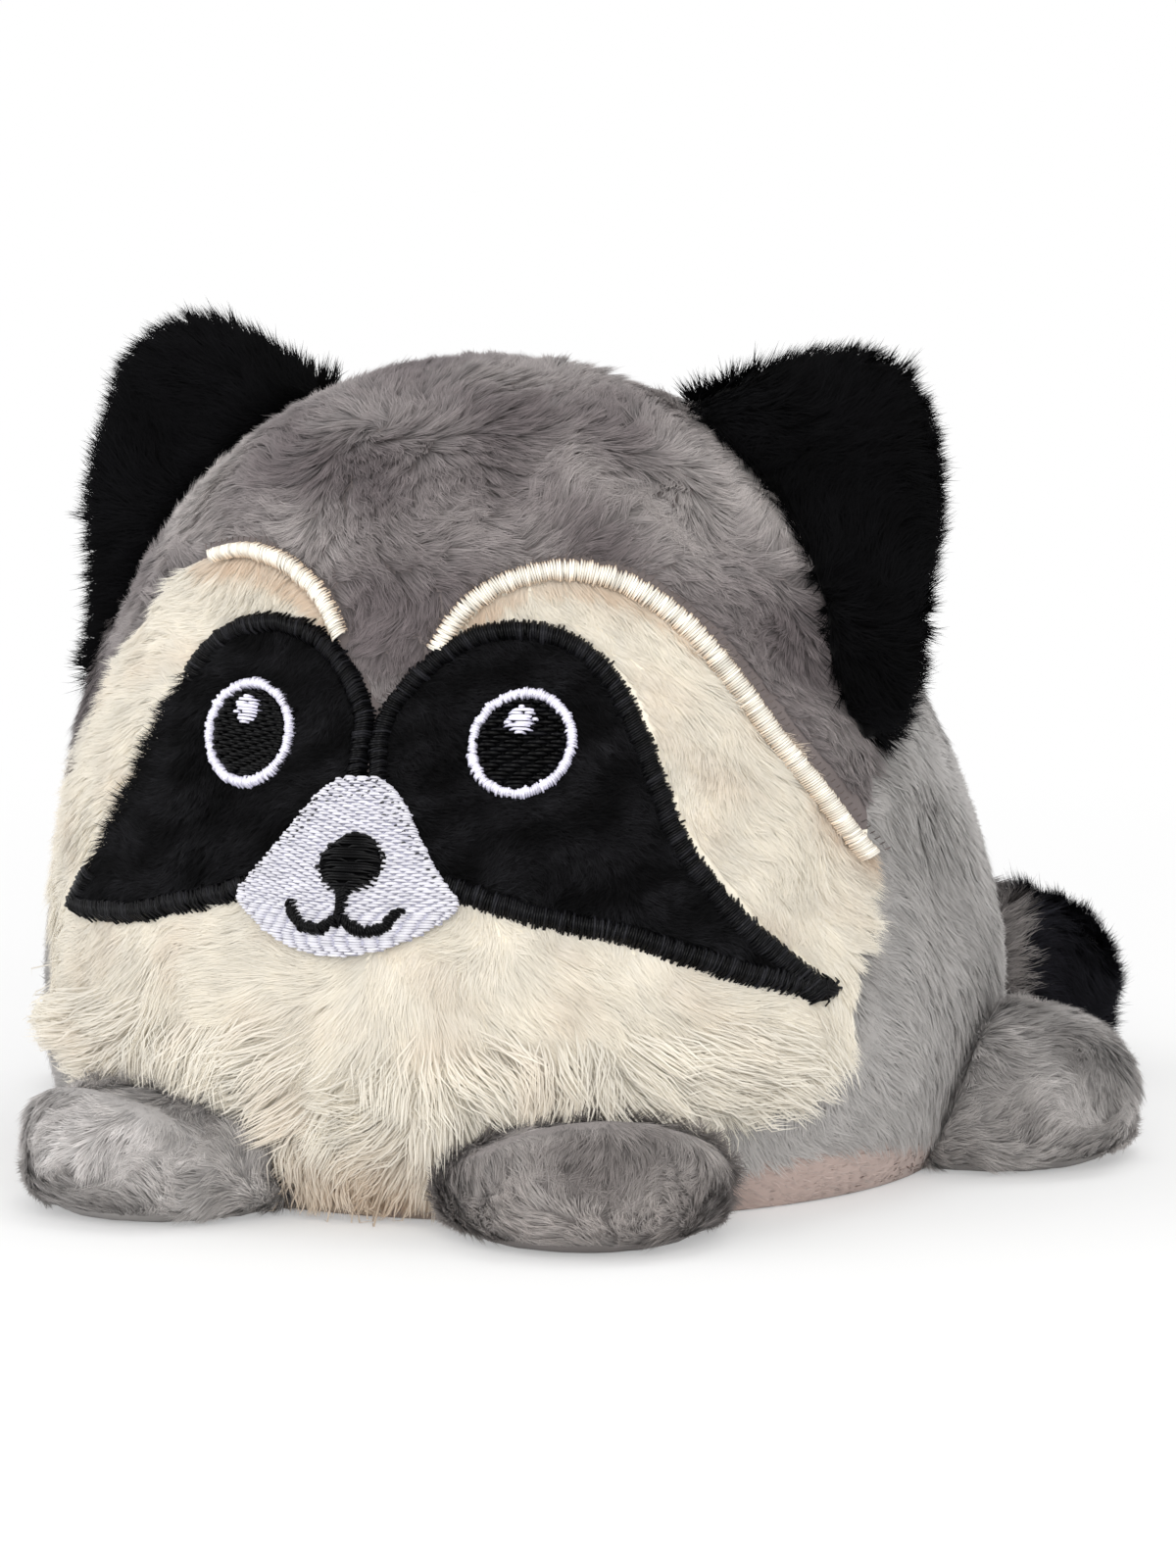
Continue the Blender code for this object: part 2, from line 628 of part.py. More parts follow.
def build_eye(side, label, patch_top):
    """Stitched ring, pupil and highlight of an eye, one on the other on its patch."""
    (centre_x, centre_z), = drawn([(EYE_X * side, EYE_Z)])
    bottom = patch_top + GAP
    top = bottom + STITCH_THICKNESS
    inner_radius = EYE_RADIUS - RING_WIDTH
    ring = layer(circle(centre_x, centre_z, EYE_RADIUS, EYE_RADIUS), bottom, top)
    hole = front_prism(circle(centre_x, centre_z, inner_radius, inner_radius))
    finish(combine(ring, hole, "DIFFERENCE"), f"eye_ring_{label}", WHITE_THREAD)
    pupil_radius = inner_radius - GAP
    pupil = layer(circle(centre_x, centre_z, pupil_radius, pupil_radius), bottom, top)
    finish(pupil, f"pupil_{label}", BLACK_THREAD)
    centre_x, centre_z = centre_x + HIGHLIGHT_SHIFT_X, centre_z + HIGHLIGHT_SHIFT_Z
    spot = circle(centre_x, centre_z, HIGHLIGHT_RADIUS, HIGHLIGHT_RADIUS, 16)
    highlight = layer(spot, top + GAP, top + GAP + STITCH_THICKNESS)
    finish(highlight, f"highlight_{label}", WHITE_THREAD)


def build_nose_and_mouth(muzzle_top):
    """Stitched oval nose and the mouth below it, which is a line down from it and two hooks."""
    bottom = muzzle_top + GAP
    (nose_x, nose_z), = drawn([(MUZZLE_X + NOSE_SHIFT, NOSE_Z)])
    nose_loop = circle(nose_x, nose_z, NOSE_HALF_WIDTH, NOSE_HALF_HEIGHT)
    finish(layer(nose_loop, bottom, bottom + STITCH_THICKNESS), "nose", BLACK_THREAD)
    half = smooth_path(drawn(MOUTH_HALF))
    steps = side_steps(half) * MOUTH_WIDTH / 2
    over = half - steps
    over = over[over[:, 0] > MOUTH_WIDTH / 2 + GAP]
    stem = [(MOUTH_WIDTH / 2, over[0][1]), (MOUTH_WIDTH / 2, nose_z - NOSE_HALF_HEIGHT - GAP)]
    right_half = np.concatenate([(half + steps), over[::-1], stem])
    mouth_loop = np.concatenate([right_half, mirrored(right_half)[:-1]]) + (nose_x, 0)
    finish(layer(mouth_loop, bottom, bottom + STITCH_THICKNESS), "mouth", BLACK_THREAD)


def build_ears(clear_ball):
    """Both ears, flat stuffed flaps that stand in the front seam."""
    scale = HEIGHT / PATTERN_HEIGHT
    top = seam_place(EAR_ROOT_TOP_Z * scale)
    low = seam_place(EAR_ROOT_FOOT_Z * scale)
    along = (top - low).normalized()
    out = along.cross(Vector((0, -1, 0))).normalized()
    if out.x < 0:
        out = -out
    through = out.cross(along).normalized()
    backward = through if through.y > 0 else -through
    outline = smooth_path(EAR_OUTLINE, closed=True)[::2] * (EAR_LENGTH, EAR_REACH)
    ears = ((1, "left", EAR_SWEEP_LEFT, EAR_RAISE_LEFT), (-1, "right", EAR_SWEEP_RIGHT, EAR_RAISE_RIGHT))
    for side, label, sweep, rise in ears:
        middle = (top + low) / 2 + along * rise
        swept = out * math.cos(sweep) + backward * math.sin(sweep)
        through = swept.cross(along).normalized()

        def place(run, reach, depth, side=side, middle=middle, swept=swept, through=through):
            spot = middle + along * run + swept * reach + through * depth
            return Vector((spot.x * side, spot.y, spot.z))
        ear = combine(pillow(outline, EAR_THICKNESS, place), clear_ball, "DIFFERENCE")
        finish(ear, f"ear_{label}", BLACK_PLUSH)


def build_feet_and_tail(clear_ball):
    """Front paws, hind feet and the two pieces of the tail, all seated on the ball."""
    feet = {
        "front_paw_left": (FRONT_PAW_TURN, FRONT_PAW),
        "front_paw_right": (-FRONT_PAW_TURN, FRONT_PAW),
        "hind_foot_left": (HIND_FOOT_TURN_LEFT, HIND_FOOT),
        "hind_foot_right": (-HIND_FOOT_TURN_RIGHT, HIND_FOOT),
    }
    for name, (turn, sizes) in feet.items():
        finish(combine(foot(turn, *sizes), clear_ball, "DIFFERENCE"), name, GREY_PLUSH)
    seam = tail_place(TAIL_GREY_SHARE)
    heading = tail_heading(TAIL_GREY_SHARE)
    grey = trimmed(tail_form(), seam - heading * GAP, -heading)
    finish(combine(grey, clear_ball, "DIFFERENCE"), "tail_base", DARK_GREY_PLUSH)
    finish(trimmed(tail_form(), seam, heading), "tail_end", BLACK_PLUSH)


def build():
    """The whole raccoon."""
    for old in list(bpy.data.objects):
        bpy.data.objects.remove(old)
    surface = ball(0)
    clear_ball = ball(GAP, rests=False)
    core = ball(-PILE - GAP)

    base = combine(duplicate(surface), base_region(0), "INTERSECT")
    finish(base, "base_panel", BEIGE_PLUSH)
    above = combine(duplicate(surface), base_region(GAP), "DIFFERENCE")
    front_space = combine(front_region(0), core, "DIFFERENCE")
    body = combine(duplicate(above), front_space, "DIFFERENCE")
    finish(body, "body", GREY_PLUSH)
    front_shell = combine(duplicate(above), front_region(GAP), "INTERSECT")
    front_shell = combine(front_shell, ball(-PILE), "DIFFERENCE")
    build_face(front_shell)
    build_ears(clear_ball)
    build_feet_and_tail(clear_ball)

    for leftover in [item for item in bpy.data.objects if item not in KEPT]:
        bpy.data.objects.remove(leftover)


build()
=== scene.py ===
"""Looks of a small round plush raccoon: brushed pile, velvet patches and embroidery.

Every soft piece has a skin, which is its fabric, and a pile of small blades rooted in it.
The embroidery is laid thread by thread. Lengths in the size fields are in millimetres,
and everything that reaches a mesh is in metres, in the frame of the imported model.
"""

import logging
import math
from dataclasses import dataclass, field, replace
from enum import Enum
from typing import Callable, Sequence

import bpy
import numpy as np
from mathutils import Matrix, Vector, kdtree


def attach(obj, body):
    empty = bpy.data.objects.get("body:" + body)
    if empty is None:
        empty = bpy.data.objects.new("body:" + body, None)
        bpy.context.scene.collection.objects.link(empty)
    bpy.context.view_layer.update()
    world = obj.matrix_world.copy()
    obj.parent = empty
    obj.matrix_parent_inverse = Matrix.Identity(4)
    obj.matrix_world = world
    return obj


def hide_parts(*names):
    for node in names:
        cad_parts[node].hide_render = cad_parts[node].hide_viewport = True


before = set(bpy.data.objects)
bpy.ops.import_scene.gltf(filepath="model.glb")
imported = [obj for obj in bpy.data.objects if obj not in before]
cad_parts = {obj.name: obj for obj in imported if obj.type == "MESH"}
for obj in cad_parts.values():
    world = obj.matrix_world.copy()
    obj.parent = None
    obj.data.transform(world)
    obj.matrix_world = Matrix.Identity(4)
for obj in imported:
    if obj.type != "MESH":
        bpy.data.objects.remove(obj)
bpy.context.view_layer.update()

logging.basicConfig(level=logging.INFO, format="%(message)s")
LOG = logging.getLogger("raccoon")

Array = np.ndarray

MM = 0.001
SIDES = {"left": 1, "right": -1}
# Painted shade of the cloth under a limb's pile, and of the padding under satin: share of the pile's dark colour or
# the thread's tint
UNDER_SHADE = 0.8


def linear(hex_code: str) -> Array:
    """Linear colour of an sRGB hex code.

    Args:
        hex_code: Six hex digits.

    Returns:
        Red, green and blue from 0 to 1.
    """
    values = np.array([int(hex_code[i:i + 2], 16) for i in (0, 2, 4)]) / 255
    return np.where(values <= 0.04045, values / 12.92, ((values + 0.055) / 1.055) ** 2.4)


def blend(dark: Array, light: Array, share: Array) -> Array:
    """Colours between two.

    Args:
        dark: Colour at a share of 0.
        light: Colour at a share of 1.
        share: One share a row, cut off at 0 and 1.

    Returns:
        One linear colour a row.
    """
    return dark + (light - dark) * np.clip(share, 0, 1)


def unit(vectors: Array) -> Array:
    """Vectors of length one.

    Args:
        vectors: One vector a row.

    Returns:
        The same directions, of length one.
    """
    return vectors / np.maximum(np.linalg.norm(vectors, axis=-1, keepdims=True), 1e-12)


def flattened(vectors: Array, normals: Array) -> Array:
    """Directions laid into the surface.

    Args:
        vectors: One direction a row.
        normals: The surface's normal for each of them.

    Returns:
        Unit vectors at right angles to the normals.
    """
    return unit(vectors - normals * np.sum(vectors * normals, axis=-1, keepdims=True))


def turned(vectors: Array, normals: Array, angles: Array) -> Array:
    """Directions in a surface, turned about its normal.

    Args:
        vectors: Unit vectors at right angles to the normals.
        normals: The surface's normals.
        angles: Turn of each, in radians.

    Returns:
        The turned unit vectors.
    """
    across = np.cross(normals, vectors)
    return vectors * np.cos(angles)[:, None] + across * np.sin(angles)[:, None]


def smooth_step(values: Array, low: float, high: float) -> Array:
    """A soft ramp from 0 to 1.

    Args:
        values: Where to take it.
        low: Where it leaves 0.
        high: Where it reaches 1.

    Returns:
        The ramp's values.
    """
    share = np.clip((values - low) / (high - low), 0, 1)
    return share * share * (3 - 2 * share)


class Waves:
    """Smooth seeded noise, a sum of plane waves."""

    def __init__(self, seed: int, size: float, count: int = 12) -> None:
        """Draws the waves.

        Args:
            seed: Seed of their directions and phases.
            size: Mean length of a wave, in millimetres.
            count: How many waves are added.
        """
        rng = np.random.default_rng(seed)
        lengths = size * MM * rng.uniform(0.7, 1.6, count)
        self.waves = unit(rng.normal(size=(count, 3))) * (2 * math.pi / lengths)[:, None]
        self.phases = rng.uniform(0, 2 * math.pi, count)

    def at(self, points: Array) -> Array:
        """The noise at some points.

        Args:
            points: Positions, in metres.

        Returns:
            Values of mean 0, mostly between -1 and 1.
        """
        return np.sin(points @ self.waves.T + self.phases).mean(axis=1) * math.sqrt(len(self.phases))


def smooth_path(points: Sequence[Sequence[float]], closed: bool = False, steps: int = 6) -> Array:
    """A curve through points.

    Args:
        points: Points of the plane, in millimetres.
        closed: Whether the last point runs on to the first.
        steps: Runs between two points.

    Returns:
        Points of the curve, in metres.
    """
    knots = np.array(points, float) * MM
    count = len(knots)
    curve = []
    for i in range(count if closed else count - 1):
        if closed:
            before, here, there, after = (knots[(i + k) % count] for k in (-1, 0, 1, 2))
        else:
            before, here = knots[max(i - 1, 0)], knots[i]
            there, after = knots[i + 1], knots[min(i + 2, count - 1)]
        for t in np.linspace(0, 1, steps, endpoint=False):
            curve.append(0.5 * (2 * here + (there - before) * t
                                + (2 * before - 5 * here + 4 * there - after) * t**2
                                + (3 * here - before - 3 * there + after) * t**3))
    if not closed:
        curve.append(knots[-1])
    return np.array(curve)


def resampled(path: Array, pitch: float) -> Array:
    """A path with its points evenly spaced.

    Args:
        path: Points of the path, in metres.
        pitch: Distance between two of the new points, in metres.

    Returns:
        The new points, the path's two ends among them.
    """
    runs = np.linalg.norm(np.diff(path, axis=0), axis=1)
    way = np.concatenate([[0], np.cumsum(runs)])
    marks = np.linspace(0, way[-1], max(int(way[-1] / pitch), 2) + 1)
    return np.stack([np.interp(marks, way, path[:, k]) for k in range(path.shape[1])], axis=1)


def directions(path: Array) -> tuple[Array, Array]:
    """Which way a path of the plane runs, and square to it.

    Args:
        path: Points of the path.

    Returns:
        Unit vectors along it, and to its right.
    """
    along = unit(np.gradient(path, axis=0))
    return along, np.stack([along[:, 1], -along[:, 0]], axis=1)


def inside(points: Array, loop: Array) -> Array:
    """Which points of the plane lie in a closed loop.

    Args:
        points: Points of the plane.
        loop: The loop's corners.

    Returns:
        True for each point inside.
    """
    found = np.zeros(len(points), bool)
    for (x0, z0), (x1, z1) in zip(loop, np.roll(loop, -1, axis=0)):
        if z0 == z1:
            continue
        spans = (points[:, 1] < z0) != (points[:, 1] < z1)
        found ^= spans & (points[:, 0] < x0 + (points[:, 1] - z0) * (x1 - x0) / (z1 - z0))
    return found


def distance(points: Array, path: Array, closed: bool = False) -> Array:
    """Least distance of points from a path.

    Args:
        points: Points of the plane.
        path: The path's corners.
        closed: Whether it runs back to its start.

    Returns:
        One distance a point, in the points' unit.
    """
    ends = np.roll(path, -1, axis=0) if closed else path[1:]
    least = np.full(len(points), np.inf)
    for start, end in zip(path, ends):
        run = end - start
        away = points - start
        share = np.clip(away @ run / max(float(run @ run), 1e-18), 0, 1)
        least = np.minimum(least, np.linalg.norm(away - share[:, None] * run, axis=1))
    return least


def depth_inside(points: Array, loop: Array) -> Array:
    """How deep points lie inside a loop.

    Args:
        points: Points of the plane.
        loop: The loop's corners.

    Returns:
        Distance from the loop, negative outside it.
    """
    gap = distance(points, loop, closed=True)
    return np.where(inside(points, loop), gap, -gap)


@dataclass(frozen=True)
class Ball:
    """Form of the stuffed ball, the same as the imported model's, in millimetres."""

    side: float = 58.0
    front: float = 55.0
    back: float = 63.0
    height: float = 98.2
    waist: float = 20.0
    sag: float = 34.0
    front_crown_power: float = 2.45
    back_crown_power: float = 1.5
    front_floor_power: float = 2.2
    back_floor_power: float = 3.2
    back_plan_power: float = 2.8
    # Depth, height over the floor, spread
    brow_hollow: tuple[float, float, float] = (7.9, 60.0, 20.0)
    # Rise and spread, at the waist
    cheek_roll: tuple[float, float] = (3.0, 9.0)
    # Rise, height over the floor, spread sideways, spread upwards
    muzzle_bulge: tuple[float, float, float, float] = (4.0, 37.0, 11.0, 9.0)

    def radius(self, angle: Array, z: Array) -> Array:
        """Distance of the surface from the axis.

        Args:
            angle: Turn from the front, positive to the raccoon's left.
            z: Height in millimetres.

        Returns:
            Radius in millimetres.
        """
        ahead = np.cos(angle)
        rise = np.clip((z - self.waist) / (self.height - self.waist), 0, 1)
        drop = np.clip((self.waist - z) / self.sag, 0, 1)
        share = (1 - ahead) / 2
        backward = share**2 * (3 - 2 * share)
        floor_power = self.front_floor_power + (self.back_floor_power - self.front_floor_power) * backward
        crown_power = self.front_crown_power + (self.back_crown_power - self.front_crown_power) * backward
        crown = (1 - rise**crown_power) ** (1 / crown_power)
        level = np.where(z > self.waist, crown, (1 - drop**floor_power) ** (1 / floor_power))
        power = np.where(ahead > 0, 2.0, self.back_plan_power)
        depth = np.where(ahead > 0, self.front, self.back)
        across = np.abs(np.sin(angle)) / self.side
        plan = ((np.abs(ahead) / depth) ** power + across**power) ** (-1 / power)
        facing = np.clip(ahead, 0, 1)
        hollow, hollow_z, hollow_spread = self.brow_hollow
        roll, roll_spread = self.cheek_roll
        bulge, bulge_z, bulge_width, bulge_spread = self.muzzle_bulge
        change = roll * np.exp(-((z - self.waist) / roll_spread) ** 2) * np.clip(np.cos(0.8 * angle), 0, 1)
        change = change - hollow * np.exp(-((z - hollow_z) / hollow_spread) ** 2) * facing**2
        sideways = np.exp(-((plan * level * np.sin(angle)) / bulge_width) ** 2)
        change = change + bulge * sideways * np.exp(-((z - bulge_z) / bulge_spread) ** 2) * (ahead > 0)
        return level * (plan + change)

    def point(self, angle: Array, z: Array) -> Array:
        """Points of the surface.

        Args:
            angle: Turns from the front.
            z: Heights in millimetres.

        Returns:
            Positions in metres.
        """
        radius = self.radius(angle, z)
        return np.stack([radius * np.sin(angle), -radius * np.cos(angle), z], axis=-1) * MM

    def normal(self, angle: Array, z: Array) -> Array:
        """Outward normals of the surface.

        Args:
            angle: Turns from the front.
            z: Heights in millimetres.

        Returns:
            Unit vectors.
        """
        low, high = np.maximum(z - 0.05, -5.0), np.minimum(z + 0.05, self.height)
        around = self.point(angle + 0.001, z) - self.point(angle - 0.001, z)
        return unit(np.cross(around, self.point(angle, high) - self.point(angle, low)))

    def seen(self, drawn: Array, height: Array | float = 0.0) -> tuple[Array, Array]:
        """Points of the ball's front for points of a drawing seen from the front.

        Args:
            drawn: Points (x, z) of the drawing, in metres.
            height: Height of each over the surface, in millimetres.

        Returns:
            Positions in metres, and the surface's normals there.
        """
        x, z = drawn[:, 0] / MM, drawn[:, 1] / MM
        low, high = np.zeros_like(x), np.full_like(x, math.radians(100))
        for _ in range(26):
            middle = (low + high) / 2
            short = self.radius(middle, z) * np.sin(middle) < np.abs(x)
            low, high = np.where(short, middle, low), np.where(short, high, middle)
        angle = low * np.sign(x)
        normals = self.normal(angle, z)
        return self.point(angle, z) + normals * (np.asarray(height) * MM).reshape(-1, 1), normals


@dataclass(frozen=True)
class Pattern:
    """Seams of the ball and the drawing of the face, in millimetres."""

    # Both seams as (y, z), seen from the side
    front_seam: tuple = (
        (4.0, 105.0), (-1.5, 93.0), (-8.0, 84.0), (-12.5, 72.0), (-13.5, 60.0), (-15.0, 50.0), (-18.5, 40.0),
        (-23.5, 27.0), (-29.0, 18.0), (-40.0, 11.5), (-46.0, 7.0), (-49.0, 3.5), (-70.0, 3.0),
    )
    base_seam: tuple = (
        (-70.0, 2.6), (-48.0, 3.2), (-33.0, 7.0), (-18.0, 7.4), (-4.0, 5.6), (10.0, 1.8), (80.0, 1.8),
    )
    # The drawing of the face as (x, z), seen from the front, for the raccoon's left
    brow_line: tuple = (
        (6.0, 66.2), (8.3, 70.0), (11.5, 72.9), (15.5, 74.8), (20.5, 75.5), (25.5, 74.4), (30.0, 71.8),
        (34.5, 67.6), (39.0, 61.8), (43.3, 55.5), (47.2, 50.0), (50.5, 44.5), (52.1, 41.8),
    )
    brow_raise_left: float = -0.7
    brow_raise_right: float = 0.6
    # On the right, satin shows up to this far out
    brow_stitched_right: float = 26.0
    under_patch: tuple = ((0.0, 44.0), (5.0, 50.0), (8.0, 58.0))
    past_cheek: tuple = ((58.0, 33.0), (90.0, 30.0), (90.0, -20.0))
    brow_width: float = 2.3
    patch_inner_left: tuple = ((-1.0, 52.8), (-0.95, 57.4), (0.75, 60.8), (4.2, 64.6))
    patch_inner_right: tuple = ((1.0, 52.8), (0.95, 57.4), (2.15, 60.8), (4.9, 64.6))
    patch_top: tuple = (
        (8.5, 67.6), (12.5, 69.0), (16.5, 69.2), (20.8, 68.2), (24.5, 65.8), (27.2, 62.7), (29.2, 59.5),
        (31.5, 54.8), (33.6, 50.0), (36.0, 45.0), (39.0, 40.5), (42.5, 36.0),
    )
    patch_underside: tuple = (
        (31.0, 33.0), (25.0, 34.5), (19.7, 35.8), (14.5, 37.4), (6.0, 41.0), (0.8, 46.0),
    )
    patch_tip_left: tuple = (50.5, 25.8)
    patch_tip_right: tuple = (43.2, 32.2)
    # Share of its width that the satin loses towards its outer end
    brow_taper: float = 0.3
    # Past this x and above this z, the right patch has no stitched border
    patch_unbound_right: tuple = (26.5, 37.5)
    edge_width: float = 2.6
    muzzle_x: float = -1.0
    muzzle_half: tuple = (
        (0.0, 51.3), (2.8, 50.8), (5.6, 48.5), (7.8, 45.5), (10.2, 42.2), (12.6, 39.3), (13.6, 37.6),
        (12.2, 36.1), (9.2, 34.3), (5.0, 32.7), (0.0, 32.1),
    )
    # Specks start at the first height and are most at the second
    specks_z: tuple = (39.0, 48.0)
    # Middle x and z, half width, half height
    nose: tuple = (0.2, 41.9, 3.9, 3.0)
    mouth_half: tuple = ((0.0, 36.4), (2.2, 35.1), (4.7, 35.3), (6.6, 37.4))
    mouth_width: float = 1.4
    # Middle x and z, radius
    eye: tuple = (16.8, 55.4, 6.1)
    ring_width: float = 1.15
    # Shift from the eye's middle in x and z, size
    highlight: tuple = (-0.3, 2.4, 2.0)

    def seam_y(self, z: Array) -> Array:
        """Where the front seam runs at a height.

        Args:
            z: Heights in metres.

        Returns:
            The seam's y, in metres.
        """
        seam = smooth_path(self.front_seam)[::-1]
        return np.interp(z, seam[:, 1], seam[:, 0])

    def base_z(self, y: Array) -> Array:
        """Upper edge of the base panel at a place.

        Args:
            y: Places from front to back, in metres.

        Returns:
            Heights in metres.
        """
        seam = np.array(self.base_seam) * MM
        return np.interp(y, seam[:, 0], seam[:, 1])

    def cream(self) -> Array:
        """Outline (x, z) of the cream panel, past the ball where the seam ends it.

        Returns:
            Corners of the outline, in metres.
        """
        left, right = (
            np.concatenate([np.array(self.under_patch) * (side * MM, MM), self.brow(side),
                            np.array(self.past_cheek) * (side * MM, MM)])
            for side in SIDES.values()
        )
        return np.concatenate([left, right[:0:-1]])

    def patch(self, side: int) -> Array:
        """Outline (x, z) of an eye patch with its border.

        Args:
            side: 1 for the raccoon's left, -1 for its right.

        Returns:
            Corners of the outline, in metres.
        """
        inner = self.patch_inner_left if side > 0 else self.patch_inner_right
        tip = self.patch_tip_left if side > 0 else self.patch_tip_right
        return smooth_path((*inner, *self.patch_top, tip, *self.patch_underside), closed=True) * (side, 1)

    def muzzle(self) -> Array:
        """Outline (x, z) of the stitched muzzle.

        Returns:
            Corners of the outline, in metres.
        """
        right = [(-x, z) for x, z in self.muzzle_half[1:-1]][::-1]
        return smooth_path([*self.muzzle_half, *right], closed=True) + (self.muzzle_x * MM, 0)

    def brow(self, side: int) -> Array:
        """Middle line (x, z) of a stitched brow edge.

        Args:
            side: 1 for the raccoon's left, -1 for its right.

        Returns:
            Points of the line, in metres.
        """
        lift = self.brow_raise_left if side > 0 else self.brow_raise_right
        return (smooth_path(self.brow_line) + (0, lift * MM)) * (side, 1)

    def stitched_brow(self, side: int) -> Array:
        """The stretch of a brow's line on which satin shows: on the right, pile falls over the rest.

        Args:
            side: 1 for the raccoon's left, -1 for its right.

        Returns:
            Points of the line, in metres.
        """
        line = self.brow(side)
        return line if side > 0 else line[-line[:, 0] < self.brow_stitched_right * MM]


@dataclass
class Part:
    """Some triangles of a piece, with a normal, a tint and a material each."""

    points: Array
    normals: Array
    triangles: Array
    tints: Array
    material: int = 0


@dataclass(frozen=True)
class Skin:
    """Fabric that pile is rooted in."""

    points: Array
    normals: Array
    triangles: Array

    def sample(self, density: float, rng: np.random.Generator) -> tuple[Array, Array]:
        """Roots spread evenly over the skin.

        Args:
            density: Roots a square millimetre.
            rng: Source of chance.

        Returns:
            Positions and normals of the roots.
        """
        corners = self.points[self.triangles]
        across = np.cross(corners[:, 1] - corners[:, 0], corners[:, 2] - corners[:, 0])
        wanted = np.linalg.norm(across, axis=1) / 2 / MM**2 * density
        counts = np.floor(wanted + rng.random(len(wanted))).astype(int)
        chosen = np.repeat(np.arange(len(counts)), counts)
        u, v = rng.random(len(chosen)), rng.random(len(chosen))
        over = u + v > 1
        u, v = np.where(over, 1 - u, u), np.where(over, 1 - v, v)
        shares = np.stack([1 - u - v, u, v], axis=1)[:, :, None]
        picked = self.triangles[chosen]
        return (self.points[picked] * shares).sum(axis=1), unit((self.normals[picked] * shares).sum(axis=1))

    def where(self, keep: Array) -> "Skin":
        """The skin's triangles that a mask keeps.

        Args:
            keep: True for each triangle to keep.

        Returns:
            The smaller skin.
        """
        used, again = np.unique(self.triangles[keep], return_inverse=True)
        return Skin(self.points[used], self.normals[used], again.reshape(-1, 3))

    def part(self, tint: Array | Callable[[Array], Array], material: int = 0) -> Part:
        """The skin as a part of a piece.

        Args:
            tint: Its colour, or a function of position that gives it.
            material: Index of its material.

        Returns:
            The part.
        """
        tints = tint(self.points) if callable(tint) else np.tile(tint, (len(self.points), 1))
        return Part(self.points, self.normals, self.triangles, tints, material)


@dataclass(frozen=True)
class Pile:
    """How the blades of a pile grow. Lengths in millimetres, angles in radians."""

    density: float
    length: float
    width: float
    rise: float
    lean: float
    clump: float
    gather: float
    swirl: float
    swirl_size: float
    stray: float
    clump_stray: float
    # Shares of a blade's colour: painted shade at its root, painted highlight at its tip
    root_shade: float
    tip_shine: float
    clump_tone: float
    blade_tone: float
    tilt: float = 0.12
    blade_tilt: float = 0.10
    roundness: float = 0.15
    runs: int = 1
    length_spread: float = 0.25
    seed: int = 1


